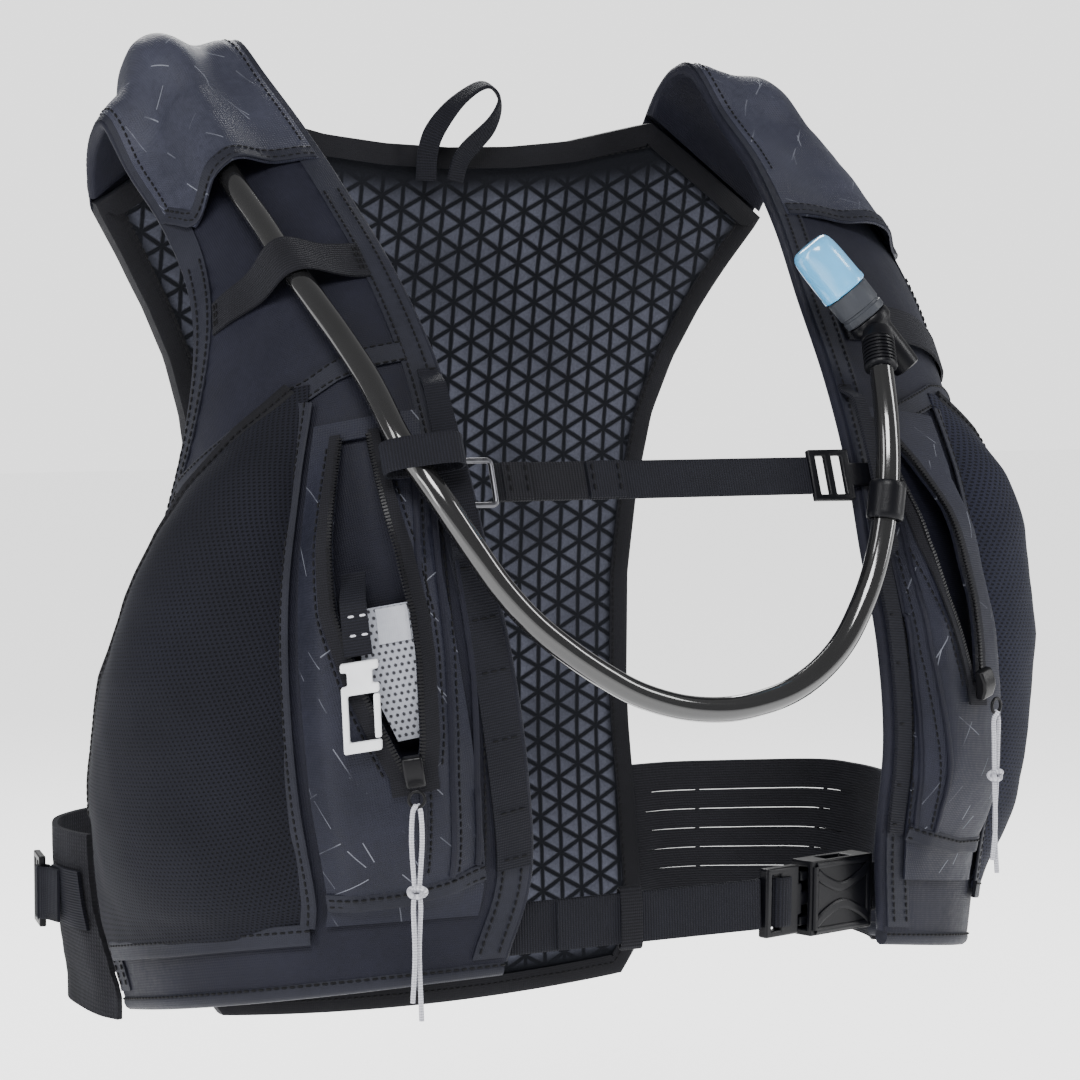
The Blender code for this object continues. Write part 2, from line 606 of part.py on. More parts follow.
# ---------------------------------------------------------------- key clip inside the right pocket
def key_clip():
    panel = PANEL["right"]
    side = "right"
    ts = (10.05, 10.15, 10.25, 10.36, 10.5, 10.65, 10.8)

    def tab_low(t, u):
        return 6.0 + (13.9 - 6.0) * ramp(t, 10.03, 10.36)

    panel_slab("key_tab", side, ts, (0.206, 0.228, 0.25), tab_low, lambda t, u: tab_low(t, u) + 1.3,
               "webbing")
    medial, lateral = ZIP_MEDIAL[side], ZIP_LATERAL[side]
    panel_slab("pocket_divider", side, (10.4, 10.7, 11.0, 11.3, 11.6),
               lambda t: (interp(medial, t) - 0.008, interp(medial, t) + 0.02,
                          interp(lateral, t) - 0.008), 5.0, 5.9,
               "grey_mesh")
    pivot = panel.at(10.83, 0.228, 15.6)
    across = (panel.at(10.83, 0.25, 15) - panel.at(10.83, 0.206, 15)).normalized()
    down = Vector((0.05, 0, -1)).normalized()
    frame_x = (-7, -4.6, 0, 4.6, 7)
    frame_y = (0.6, 4, 9, 12.5, 29.5, 33.5)
    plate("key_hook", pivot, across, down, frame_x, frame_y, 3.0, "pale_plastic", pivot=pivot,
          keep=lambda i, j: i in (0, 2, 4) or (i == 1 and j in (1, 2)) or (i == 3 and j == 3))
    hinge = pivot + across * -5.8 + down * 12.6
    plate("key_gate", hinge, across, down, (-1.2, 1.2), (0.4, 8, 16.4), 2.4, "pale_plastic", pivot=hinge)


# ---------------------------------------------------------------- hose and drinking valve
HOSE_REAR = ((-43, 38.6, -280), (-55, 34, -255), (-66, 28, -225), (-74, 22, -190), (-82, 17.5, -155),
             (-92, 15.2, -125), (-103, 14.6, -101), (-113, 14.6, -80))
HOSE_STRAP_T = (0.35, 1.0, 1.7, 2.4, 3.1, 3.9, 4.7, 5.52, 6.24, 6.9, 7.41, 7.86, 8.36)
HOSE_RISE = ((6.9, 6.4), (7.86, 8.5), (8.36, 11.5))
HOSE_FREE = ((-110.4, -125.3, -158.8), (-104, -132.2, -171.2), (-98.8, -139.0, -182.0), (-91, -145, -196.5),
             (-81.5, -149.5, -211.5), (-70.3, -153.0, -224.5), (-57.1, -156, -235.6), (-43.3, -158, -244.9),
             (-29.4, -159, -252.2), (-12, -159.5, -257.5), (6, -159.5, -259.3), (22.3, -158.5, -257.7),
             (36.6, -157, -254), (50.2, -154.5, -247.4), (62.1, -152, -237.7), (71.4, -149.5, -225.2),
             (78, -147.5, -213), (83.0, -145.5, -199.8), (86.6, -143.5, -185), (89.0, -141, -172),
             (91.2, -137, -159), (93.5, -131.5, -146.6), (96.0, -125, -135))
VALVE_START = Vector((116, -113.5, -134.5))
VALVE_AXIS = Vector((-37, 16, 48.5)).normalized()


def hose_route():
    rear = [Vector((x, back_y(x, z) + depth, z)) for x, depth, z in HOSE_REAR]
    strap = [PANEL["right"].at(t, interp(HOSE_U["right"], t), interp(HOSE_RISE, t)) for t in HOSE_STRAP_T]
    return rear + strap + [Vector(p) for p in HOSE_FREE]


def hose_and_valve():
    route = hose_route()
    points = sample(route, 76)
    tube("hose", points, HOSE_D / 2, "hose", resolution=3)
    first = (route[1] - route[0]).normalized()
    turned("port_elbow", route[0] - first * (GAP + 17), first, [(0, 4.4), (2, 6), (12, 6), (17, 5)],
           "moulded_black", 16)
    tip = (route[-1] - route[-2]).normalized()
    sleeve = turned("valve_sleeve", route[-1] + tip * GAP, tip, [(0, 6.4), (12.5, 6.4), (18, 5.2)],
                    "moulded_black", 18)
    elbow = turned("valve_elbow", VALVE_START, VALVE_AXIS,
                   [(0, 5.2), (1, 5.8), (19, 6.3), (22, 8.6), (25.6, 8.8)], "moulded_black", 20)
    union = elbow.modifiers.new("Sleeve", "BOOLEAN")
    union.operation = "UNION"
    union.object = sleeve
    sleeve.hide_render = True
    sleeve.display_type = "WIRE"
    turned("bite_valve", VALVE_START + VALVE_AXIS * (25.6 + GAP), VALVE_AXIS, [(0, 8.9), (13.0, 9.2)],
           "silicone", 20,
           pivot=VALVE_START)
    turned("dust_cap", VALVE_START + VALVE_AXIS * (39.0 + GAP), VALVE_AXIS,
           [(0, 9.7), (14, 9.3), (21.5, 8.9), (23.6, 7.2)], "blue_cap", 20, pivot=VALVE_START)


def round_loop(centre, across, out, half_width, half_depth, count=20):
    """Stadium-shaped ring of directions round a centre."""
    ring = []
    for k in range(count):
        angle = 2 * math.pi * k / count
        x = math.copysign(abs(math.cos(angle)) ** 0.6, math.cos(angle)) * half_width
        y = math.copysign(abs(math.sin(angle)) ** 0.8, math.sin(angle)) * half_depth
        ring.append(centre + across * x + out * y)
    return ring


def hose_keepers():
    """Webbing loop on the right strap and open clip on the left strap."""
    panel = PANEL["right"]
    axis = (panel.at(9.4, 0.06, 15.4) - panel.at(8.9, 0.06, 15.4)).normalized()
    out = panel.normal(9.15, 0.08)
    out = (out - axis * out.dot(axis)).normalized()
    across = axis.cross(out).normalized()
    shift = panel.at(9.12, 0.085, 15.6)
    outer, inner = [], []
    for y in (-6, -2, 2, 6):
        outer.append(round_loop(shift + axis * y, across, out, 15.2, 7.2))
        inner.append(round_loop(shift + axis * y, across, out, 13.8, 5.8))
    slab("hose_loop", outer, inner, "webbing", wrap=True)
    low, high = Vector(HOSE_FREE[-6]), Vector(HOSE_FREE[-4])
    axis = (high - low).normalized()
    middle = Vector(HOSE_FREE[-5])
    out = Vector((0, -1, 0))
    out = (out - axis * out.dot(axis)).normalized()
    across = axis.cross(out).normalized()
    angles = [math.radians(a) for a in steps(-150, 150, 14)]
    outer, inner = [], []
    for y in (-7.5, -2.5, 2.5, 7.5):
        outer.append([middle + axis * y + (out * math.cos(a) + across * math.sin(a)) * 7.2 for a in angles])
        inner.append([middle + axis * y + (out * math.cos(a) + across * math.sin(a)) * 5.35 for a in angles])
    slab("hose_clip", outer, inner, "moulded_black")


# ---------------------------------------------------------------- chest strap
LEG_T = {"right": 9.35, "left": 9.18}
LEG_U = 0.022
RAIL_SPAN = 0.3               # panel stations each side of the strap's ends that set its slide direction
LEG_LIFT = 2.8


def attachment_strips():
    """Vertical webbing ladders that the chest strap hooks behind."""
    ts = [8.15, 8.25, 8.4, 8.6] + steps(8.8, 9.8, 5) + [10.0, 10.1, 10.5, 11.0, 11.5, 12.0, 12.5, 12.9]
    wide = {"right": (0.004, 0.030, 0.056), "left": (0.003, 0.020, 0.037)}

    def lift(t, u):
        return 0.6 + 5.6 * ramp(t, 8.18, 8.42) * ramp(10.1 - t, 0.0, 0.14)

    for side in SIDES:
        panel_slab(f"{side}_hook_strip", side, ts, wide[side], lift, lambda t, u: lift(t, u) + WEB_THICK,
                   "webbing")


def chest_strap():
    right = PANEL["right"].at(LEG_T["right"], LEG_U, LEG_LIFT)
    left = PANEL["left"].at(LEG_T["left"], LEG_U, LEG_LIFT)
    along = (left - right).normalized()
    rail = Vector((0, 0, 0))
    for side in SIDES:
        above, below = (PANEL[side].at(LEG_T[side] + d, LEG_U) for d in (-RAIL_SPAN, RAIL_SPAN))
        rail += (below - above).normalized()
    down = (rail - along * rail.dot(along)).normalized()
    reach = (left - right).length
    corners = [right + down * 8.5, right + down * 8.5 + along * 14.4, right - down * 8.5 + along * 14.4,
               right - down * 8.5]
    wire = []
    for k, corner in enumerate(corners):
        before, after = corners[k - 1], corners[(k + 1) % 4]
        for f in (0.0, 0.5, 1.0):
            a = corner + (before - corner).normalized() * 2.2
            b = corner + (after - corner).normalized() * 2.2
            wire.append(a.lerp(b, f) + (corner - a.lerp(b, 0.5)) * (2.4 * f * (1 - f)))
    tube("chest_strap_hook", wire, 1.1, "steel", closed=True)
    half = STERNUM_WEB / 2
    plate("chest_elastic", right, along, down, (15.9, 28, 40, 52), (-half, 0, half), 3.0, "elastic")
    plate("chest_webbing", right, along, down, (52 + GAP, 80, 110, reach - 28.6), (-half, 0, half),
          WEB_THICK, "webbing")
    xs = [reach - 28 + d for d in (0, 3.2, 7.4, 10.4, 15.0, 18.5, 30.5)]
    ys = (-10.2, -7.9, -4.6, 4.6, 7.9, 10.2)
    plate("chest_ladder_lock", right, along, down, xs, ys, 2.6, "moulded_black", pivot=right + along * xs[0],
          keep=lambda i, j: j in (0, 2, 4) or (i in (0, 4) and j < 5) or (j == 5 and i == 2))


# ---------------------------------------------------------------- waist strap and buckle
WAIST_START = Vector((-84, -104.2, -346.0))
WAIST_END = Vector((46, -118.4, -342.5))
BUCKLE_END = Vector((107, -99.5, -344.0))


def box(name, origin, axes, low, high, kind, pivot=None):
    """Box between two corners in a local frame of three axes."""
    corners = [(low[0] if i & 1 == 0 else high[0], low[1] if i & 2 == 0 else high[1],
                low[2] if i & 4 == 0 else high[2]) for i in range(8)]
    verts = [origin + axes[0] * x + axes[1] * y + axes[2] * z for x, y, z in corners]
    faces = [(0, 2, 3, 1), (4, 5, 7, 6), (0, 1, 5, 4), (2, 6, 7, 3), (0, 4, 6, 2), (1, 3, 7, 5)]
    return make_object(name, verts, faces, kind, pivot, smooth=False)


def cut(body, cutter):
    cutter.hide_render = True
    cutter.display_type = "WIRE"
    hole = body.modifiers.new(cutter.name, "BOOLEAN")
    hole.operation = "DIFFERENCE"
    hole.object = cutter


def waist_strap():
    along = (WAIST_END - WAIST_START).normalized()
    down = Vector((0, 0, -1))
    down = (down - along * down.dot(along)).normalized()
    length = (WAIST_END - WAIST_START).length
    half = WAIST_WEB / 2
    plate("waist_webbing", WAIST_START, along, down, steps(0, length, 5), (-half, 0, half), WEB_THICK,
          "webbing")
    out = along.cross(down).normalized()
    middle = WAIST_START + along * 76
    outer, inner = [], []
    for x in (-4.5, 0, 4.5):
        outer.append(round_loop(middle + along * x, down, out, 12.4, 2.9, 16))
        inner.append(round_loop(middle + along * x, down, out, 11.3, 1.7, 16))
    slab("waist_keeper", outer, inner, "elastic", wrap=True)
    axis = (BUCKLE_END - WAIST_END).normalized()
    down = (Vector((0, 0, -1)) + axis * axis.z).normalized()
    out = axis.cross(down).normalized()
    origin = WAIST_END + axis * 1.6
    plate("buckle_male", origin, axis, down, (0, 3.2, 8.2, 11.2, 19, 21, 44),
          (-13.6, -11, -6.4, -2.6, 2.6, 6.4, 11, 13.6),
          4.6, "moulded_black",
          keep=lambda i, j: (j in (0, 2, 3)) or (i in (0, 6) and j < 4) or (j == 4 and i in (2, 3, 4)) or
          (j == 5 and i == 3))
    for name, sign in (("upper", -1), ("lower", 1)):
        pivot = origin + axis * 19.4 + down * (8.9 * sign)
        rows = ((0, -1.8, 1.8), (6, -1.6, 1.4), (13, -1.2, 1.2), (18, -0.9, 1.8), (22, -0.8, 2.8),
                (26, -0.6, 2.4),
                (28, 0.2, 1.4))
        outer = [[pivot + axis * (x + GAP) + down * (y * sign) + out * 2.3 for y in (a, b)] for x, a,
                 b in rows]
        inner = [[p - out * 4.6 for p in row] for row in outer]
        slab(f"buckle_prong_{name}", outer, inner, "moulded_black", pivot=pivot)
    body = box("buckle_female", origin, (axis, down, out), (22.5, -14.8, -5.4), (60, 14.8, 5.4),
               "moulded_black",
               pivot=origin)
    cut(body, box("female_cavity", origin, (axis, down, out), (20, -12.2, -3.2), (51, 12.2, 3.2),
                  "moulded_black"))
    cut(body, box("female_windows", origin, (axis, down, out), (34, -20, -3.2), (49, 20, 3.2),
                  "moulded_black"))
    start = origin + axis * (60 + GAP)
    plate("waist_stub", start, axis, down, (0, 6, 12), (-half, 0, half), WEB_THICK, "webbing")


# ---------------------------------------------------------------- side wings
def wing_path(side, z):
    """Plan path of the elastic wing from the back pad's edge round the ribs to the front panel."""
    sign = PANEL[side].sign
    pad_x = interp([(p[2], p[1]) for p in reversed(PAD_SIDE[5:12])], z)
    panel = PANEL[side]
    best = min(steps(12.4, LAST, 32), key=lambda t: abs(panel.at(t, 1).z - max(z, panel.at(LAST, 1).z)))
    edge = panel.at(best, 1)
    start = Vector((sign * (pad_x + 1.2), back_y(pad_x, z) + 5, z))
    flare = abs(edge.x)
    return [start, Vector((sign * 128, 101, z)), Vector((sign * 152, 95, z)),
            Vector((sign * (flare - 4), 79, z)),
            Vector((sign * (flare + 5), 59, z)), Vector((sign * (flare + 5), edge.y + 17, z)),
            Vector((sign * (flare + 1.0), edge.y + 3.4, z))]


WING_Z = (-320, -392)


def side_wings():
    for side, kind in (("right", "spacer_mesh"), ("left", "elastic")):
        sign = PANEL[side].sign
        outer, inner = [], []
        for z in steps(WING_Z[0], WING_Z[1], 5):
            path = sample(wing_path(side, z), 18)
            out = []
            for k, p in enumerate(path):
                step = path[min(k + 1, 18)] - path[max(k - 1, 0)]
                out.append(step.cross(Vector((0, 0, 1))).normalized() * -sign)
            outer.append([p + n * 1.2 for p, n in zip(path, out)])
            inner.append([p - n * 1.2 for p, n in zip(path, out)])
        slab(f"{side}_side_wing", outer, inner, kind)
        zs = (-335, -341, -347, -353, -358)
        outer, inner = [], []
        for z in zs:
            path = sample(wing_path(side, z), 60)[44:57]
            out = [(path[min(k + 1, 12)] - path[max(k - 1, 0)]).cross(Vector((0, 0, 1))).normalized() * -sign
                   for k in range(13)]
            outer.append([p + n * (2.2 + WEB_THICK) for p, n in zip(path, out)])
            inner.append([p + n * 2.2 for p, n in zip(path, out)])
        slab(f"{side}_side_webbing", outer, inner, "webbing")
        path = sample(wing_path(side, -346.5), 60)
        back, fore = path[38], path[43]
        across = (fore - back).normalized()
        out = across.cross(Vector((0, 0, 1))).normalized() * -sign
        pivot = fore + out * 7.5
        plate(f"{side}_side_lock", pivot, -across, (0, 0, -1), (0.6, 3.2, 7.4, 10.2, 14.6, 17.4),
              (-14.5, -12, 12, 14.5), 2.8, "moulded_black", pivot=pivot,
              keep=lambda i, j: i in (0, 2) or j in (0, 2, 4))


def main():
    clear_scene()
    back_panel()
    rear_compartment()
    reservoir()
    panels()
    shoulder_flaps()
    front_pockets()
    zip_tapes()
    sliders()
    key_clip()
    hose_and_valve()
    hose_keepers()
    attachment_strips()
    chest_strap()
    waist_strap()
    side_wings()


main()
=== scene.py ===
import math

import bmesh
import bpy
from mathutils import Matrix, Vector, noise


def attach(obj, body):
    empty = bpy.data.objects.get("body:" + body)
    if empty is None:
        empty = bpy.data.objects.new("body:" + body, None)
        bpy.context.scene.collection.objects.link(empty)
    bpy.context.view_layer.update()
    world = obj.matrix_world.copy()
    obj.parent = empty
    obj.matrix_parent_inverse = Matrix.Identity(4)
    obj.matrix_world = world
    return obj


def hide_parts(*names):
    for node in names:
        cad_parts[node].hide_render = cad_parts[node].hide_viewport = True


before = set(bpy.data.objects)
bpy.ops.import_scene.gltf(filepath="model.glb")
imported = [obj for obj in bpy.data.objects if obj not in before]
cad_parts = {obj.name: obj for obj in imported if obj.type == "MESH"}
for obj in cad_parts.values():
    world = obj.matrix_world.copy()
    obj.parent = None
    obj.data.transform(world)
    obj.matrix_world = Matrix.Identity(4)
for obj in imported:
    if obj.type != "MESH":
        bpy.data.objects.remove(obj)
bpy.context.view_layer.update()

MM = 0.001

# ---------------------------------------------------------------- sizes shared with the frame (mm)
GAP = 0.4
STRAP_THICK = 5.0
FABRIC = 1.2
PAD_THICK = 8.0
HOSE_D = 9.5
WAIST_WEB = 20.0
STERNUM_WEB = 15.0
WEB_THICK = 1.6
REAR_BULGE = 46.0
TAPE_TOP = 2.1
SIDES = ("right", "left")

# Stations along each front panel, from the rear shoulder seam over the shoulder to the hem:
# medial edge (x, y, z), lateral edge (x, y, z), crown (outward bulge at mid-width).
RIGHT_STATIONS = (
    ((-99, 71.5, -26), (-158, 76, -66), 3),
    ((-101, 69, -13), (-161, 70, -52), 4),
    ((-103, 59, -4), (-163, 58, -41), 5),
    ((-103, 46, -3), (-163, 43, -37), 6),
    ((-98, 32, -17), (-156, 33, -57), 8),
    ((-92, 5, -40), (-150, 14, -77), 9),
    ((-88, -27, -66), (-148, -8, -100), 10),
    ((-86, -64, -95), (-149, -20, -125), 14),
    ((-84, -97, -129), (-152, -18, -158), 22),
    ((-83, -119, -163), (-156, -5, -194), 32),
    ((-79, -130, -198), (-163, 10, -230), 40),
    ((-71, -133, -234), (-171, 20, -266), 46),
    ((-62, -129, -276), (-176, 25, -306), 48),
    ((-54, -118, -322), (-175, 22, -347), 46),
    ((-62, -113, -356), (-170, 8, -382), 44),
)
LEFT_STATIONS = (
    ((99, 71.5, -26), (158, 76, -66), 3),
    ((104, 69, -13), (163, 70, -52), 4),
    ((107, 59, -4), (167, 58, -42), 5),
    ((109, 46, -5), (169, 44, -40), 6),
    ((114, 31, -26), (176, 30, -58), 8),
    ((114, 4, -47), (184, 10, -80), 9),
    ((107, -30, -73), (190, -4, -104), 12),
    ((97, -65, -103), (194, -14, -130), 16),
    ((91, -97, -137), (197, -14, -162), 22),
    ((87, -120, -170), (200, -4, -196), 30),
    ((88, -130, -205), (203, 8, -232), 36),
    ((94, -133, -241), (204, 18, -268), 40),
    ((100, -129, -281), (201, 22, -308), 42),
    ((103, -119, -322), (193, 18, -348), 40),
    ((108, -113, -360), (182, 6, -384), 36),
)
LAST = len(RIGHT_STATIONS) - 1

# Back panel: depth along the spine (z, y), neckline (x, z) and side edge (v, x, z),
# where v runs from the neck corner (0) to the bottom corner (1).
SPINE = ((-418, 90), (-300, 98), (-230, 97), (-160, 91), (-100, 81), (-66, 72), (-42, 66.5), (-20, 64.5))
NECK = ((0, -42), (30, -41), (58, -38), (80, -33), (98, -29))
PAD_SIDE = ((0, 98, -29), (0.1, 157, -69), (0.16, 143, -90), (0.21, 131, -110), (0.27, 120, -132),
            (0.33, 112, -156), (0.42, 106, -190), (0.52, 103, -230), (0.65, 103, -280),
            (0.78, 106, -330), (0.89, 108, -375), (0.96, 106, -400), (1, 97, -413))
SHELL_SIDE = ((0, 92, -62), (0.06, 112, -76), (0.12, 122, -98), (0.22, 110, -130), (0.34, 100, -165),
              (0.45, 94, -200), (0.6, 92, -245), (0.75, 93, -300), (0.88, 95, -350), (0.95, 93, -388),
              (1, 84, -404))


def interp(table, x):
    """Straight-line reading of a sorted table of (x, value) pairs."""
    if x <= table[0][0]:
        return table[0][1]
    for (x0, y0), (x1, y1) in zip(table, table[1:]):
        if x <= x1:
            return y0 + (y1 - y0) * (x - x0) / (x1 - x0)
    return table[-1][1]


def ramp(x, start, end):
    """Smooth 0 to 1 step between start and end."""
    k = min(max((x - start) / (end - start), 0.0), 1.0)
    return k * k * (3 - 2 * k)


def spline(points, t):
    """Catmull-Rom curve through equally spaced control points, t in 0..len-1."""
    last = len(points) - 1
    t = min(max(t, 0.0), last)
    i = min(int(t), last - 1)
    f = t - i
    b, c = points[i], points[i + 1]
    a = points[i - 1] if i > 0 else b * 2 - c
    d = points[i + 2] if i + 2 <= last else c * 2 - b
    return (b * 2 + (c - a) * f + (a * 2 - b * 5 + c * 4 - d) * f ** 2
            + (b * 3 - a - c * 3 + d) * f ** 3) * 0.5


class Panel:
    """One strap and front panel: t runs along it, u from medial to lateral, h off its outer face."""

    ROWS_PER_STATION = 20
    COLUMNS = 48

    def __init__(self, stations, sign):
        self.sign = sign
        medial, lateral = [Vector(s[0]) for s in stations], [Vector(s[1]) for s in stations]
        crown = [Vector((s[2], 0, 0)) for s in stations]
        rows = LAST * self.ROWS_PER_STATION
        ts = [LAST * i / rows for i in range(rows + 1)]
        near, far = [spline(medial, t) for t in ts], [spline(lateral, t) for t in ts]
        middle = [(a + b) * 0.5 for a, b in zip(near, far)]
        self.points = []
        for i, t in enumerate(ts):
            along = middle[min(i + 1, rows)] - middle[max(i - 1, 0)]
            out = (far[i] - near[i]).cross(along).normalized() * -sign
            lift = spline(crown, t).x
            us = [j / self.COLUMNS for j in range(self.COLUMNS + 1)]
            self.points.append([near[i] + (far[i] - near[i]) * u + out * (lift * 4 * u * (1 - u))
                                for u in us])
        self.normals = []
        for i in range(rows + 1):
            line = []
            for j in range(self.COLUMNS + 1):
                across = self.points[i][min(j + 1, self.COLUMNS)] - self.points[i][max(j - 1, 0)]
                along = self.points[min(i + 1, rows)][j] - self.points[max(i - 1, 0)][j]
                line.append(across.cross(along).normalized() * -sign)
            self.normals.append(line)

    def read(self, table, t, u):
        x = min(max(t, 0), LAST) * self.ROWS_PER_STATION
        y = min(max(u, 0), 1) * self.COLUMNS
        i, j = min(int(x), len(table) - 2), min(int(y), self.COLUMNS - 1)
        top = table[i][j].lerp(table[i][j + 1], y - j)
        return top.lerp(table[i + 1][j].lerp(table[i + 1][j + 1], y - j), x - i)

    def normal(self, t, u):
        return self.read(self.normals, t, u).normalized()

    def at(self, t, u, h=0.0):
        return self.read(self.points, t, u) + self.normal(t, u) * h

    def width(self, t):
        return (self.at(t, 1) - self.at(t, 0)).length


PANEL = {"right": Panel(RIGHT_STATIONS, -1), "left": Panel(LEFT_STATIONS, 1)}


def back_y(x, z):
    """Depth of the back pad's wearer-side face."""
    return interp(SPINE, z) - 0.00015 * x * x


def outline_point(side, top, bottom_z, s, v):
    """Point (x, z) of a shield-shaped outline: s across (-1..1), v down (0..1)."""
    half = interp([(p[0], p[1]) for p in side], v)
    drop = interp([(p[0], p[2]) for p in side], v)
    top_x, bottom_x = side[0][1], side[-1][1]
    width = half - ((1 - v) * top_x + v * bottom_x)
    height = drop - ((1 - v) * side[0][2] + v * side[-1][2])
    low = bottom_z + (side[-1][2] - bottom_z) * s * s
    x = (1 - v) * top_x * s + v * bottom_x * s + width * s
    z = (1 - v) * interp(top, abs(s) * top_x) + v * low + height
    return x, z


def pad_at(s, v, depth=0.0):
    """Point of the back pad; depth is measured backwards from the wearer's side."""
    x, z = outline_point(PAD_SIDE, NECK, -418, s, v)
    return Vector((x, back_y(x, z) + depth, z))


def shell_at(s, v, depth=0.0):
    """Point of the rear compartment's outer face, standing off the pad like a filled bag."""
    x, z = outline_point(SHELL_SIDE, ((0, -65), (92, -62)), -409, s, v)
    power = 2 + ramp(v, 0.075, 0.13)        # the zip's rows follow an arc, which the slider can run along
    bulge = (1 - abs(s) ** power) * (1 - abs(2 * v - 1) ** 4) ** 0.8 if 0 < v < 1 else 0.0
    exit_lift = 18.0 * math.exp(-((x + 110) / 17) ** 2 - ((z + 86) / 20) ** 2)
    stand_off = max(2.2 + (REAR_BULGE - 2.2) * bulge, 2.2 + exit_lift)
    return Vector((x, back_y(x, z) + PAD_THICK + stand_off + depth, z))


def steps(start, end, count):
    return [start + (end - start) * i / count for i in range(count + 1)]


def sample(points, count):
    """Evenly counted points along a smooth curve through the given ones."""
    control = [Vector(p) for p in points]
    return [spline(control, (len(control) - 1) * i / count) for i in range(count + 1)]


HOSE_U = {"right": ((0, 0.5), (4.5, 0.53), (5.52, 0.54), (6.24, 0.49), (6.9, 0.42), (7.41, 0.33),
                    (7.86, 0.25),
                    (8.36, 0.18), (8.9, 0.125), (9.3, 0.09))}
ZIP_SPAN = {"right": (8.75, 11.85), "left": (8.6, 11.4)}
ZIP_MEDIAL = {"right": ((8.7, 0.200), (9.9, 0.150), (10.5, 0.140), (10.9, 0.142), (11.6, 0.155),
                        (11.85, 0.166)),
              "left": ((8.6, 0.078), (9.3, 0.085), (9.9, 0.096), (10.5, 0.115), (11.0, 0.140),
                       (11.4, 0.158))}
ZIP_LATERAL = {"right": ((8.7, 0.262), (9.75, 0.262), (10.4, 0.258), (11.16, 0.222), (11.66, 0.190),
                         (11.85, 0.177)),
               "left": ((8.6, 0.090), (9.0, 0.135), (9.5, 0.170), (9.9, 0.182), (10.5, 0.187), (11.0, 0.180),
                        (11.4, 0.171))}
POCKET_U = {"right": (0.075, 0.100, 0.300, 0.345), "left": (0.046, 0.053, 0.270, 0.330)}
TAPE_W = {"right": 0.030, "left": 0.020}
MOUTH_U = ((8.1, 0.44), (8.5, 0.58), (8.9, 0.66), (9.4, 0.74), (10.0, 0.79), (10.6, 0.83), (11.0, 0.86),
           (11.6, 0.92), (12.2, 0.965), (13.7, 0.97))
MOUTH_LIFT = ((8.1, 2.0), (8.5, 8.0), (9.0, 12.0), (10.0, 13.0), (10.8, 13.0), (11.4, 9.0), (12.2, 2.2),
              (13.7, 2.0))
MESH_MEDIAL_U = 0.375
MESH_T = (8.12, 13.5)
POCKET_END = 13.4


def zip_face(side, t, u):
    """Outer face of the zipped front pocket above the panel."""
    first, inner, _, last = POCKET_U[side]
    rise = ramp(u, first, inner + 0.045) * ramp(last + 0.01 - u, 0.0, 0.07)
    return 2.0 + 9.5 * rise * ramp(t, 8.6, 9.8) * ramp(13.5 - t, 0.0, 1.4)


def mesh_face(t, u):
    """Outer face of the stretch-mesh pocket above the panel."""
    s = (u - MESH_MEDIAL_U) / (interp(MOUTH_U, t) - MESH_MEDIAL_U)
    swell = 13.0 * 4 * s * (1 - s) * ramp(t, 8.1, 9.6) * ramp(13.8 - t, 0.0, 1.6)
    return 2.0 + (interp(MOUTH_LIFT, t) - 2.0) * s + swell


def tunnel_bump(side, t, u):
    centre, height = 0.53, 6.0
    if side == "right":
        centre, height = interp(HOSE_U["right"], t), 12.2
    return height * math.exp(-(abs(u - centre) / 0.17) ** 2.6)


SLIDER_T = {"right": ((11.80, 0.171, 0.0), (10.2, 0.174, 0.5), (9.0, 0.200, 0.6)),
            "left": ((11.34, 0.164, 0.0), (10.2, 0.150, 0.0), (8.85, 0.100, 0.0))}
SLIDER_LIFT = TAPE_TOP + 1.0
SLIDER_SIZE = (7.5, 12.0, 3.4)
REAR_SLIDER_S = (-0.72, 0.0, 0.72)
REAR_ZIP_V = 0.065


def circle_axis(a, b, c):
    """Centre and axis of the circle through three points."""
    u, v = b - a, c - a
    n = u.cross(v)
    centre = a + (n.cross(u) * v.length_squared + v.cross(n) * u.length_squared) / (2 * n.length_squared)
    return centre, n.normalized()


def slider_track(name):
    """Rest point, half-way point and far point of a slider's middle, and its outward normal at rest."""
    half = SLIDER_SIZE[2] / 2
    if name == "rear":
        spots = [shell_at(s, REAR_ZIP_V, SLIDER_LIFT + half) for s in REAR_SLIDER_S]
        return spots, Vector((0, 1, 0))
    panel = PANEL[name]
    spots = [panel.at(t, u, zip_face(name, t, u) + SLIDER_LIFT + half + more) for t, u,
             more in SLIDER_T[name]]
    t, u, _ = SLIDER_T[name][0]
    return spots, panel.normal(t, u)


HOSE_REAR = ((-43, 38.6, -280), (-55, 34, -255), (-66, 28, -225), (-74, 22, -190), (-82, 17.5, -155),
             (-92, 15.2, -125), (-103, 14.6, -101), (-113, 14.6, -80))
HOSE_STRAP_T = (0.35, 1.0, 1.7, 2.4, 3.1, 3.9, 4.7, 5.52, 6.24, 6.9, 7.41, 7.86, 8.36)
HOSE_RISE = ((6.9, 6.4), (7.86, 8.5), (8.36, 11.5))
HOSE_FREE = ((-110.4, -125.3, -158.8), (-104, -132.2, -171.2), (-98.8, -139.0, -182.0),
             (-91.0, -145.0, -196.5),
             (-81.5, -149.5, -211.5), (-70.3, -153.0, -224.5), (-57.1, -156, -235.6), (-43.3, -158, -244.9),
             (-29.4, -159, -252.2), (-12, -159.5, -257.5), (6, -159.5, -259.3), (22.3, -158.5, -257.7),
             (36.6, -157, -254), (50.2, -154.5, -247.4), (62.1, -152, -237.7), (71.4, -149.5, -225.2),
             (78, -147.5, -213), (83.0, -145.5, -199.8), (86.6, -143.5, -185), (89.0, -141, -172),
             (91.2, -137, -159), (93.5, -131.5, -146.6), (96.0, -125, -135))
VALVE_START = Vector((116, -113.5, -134.5))
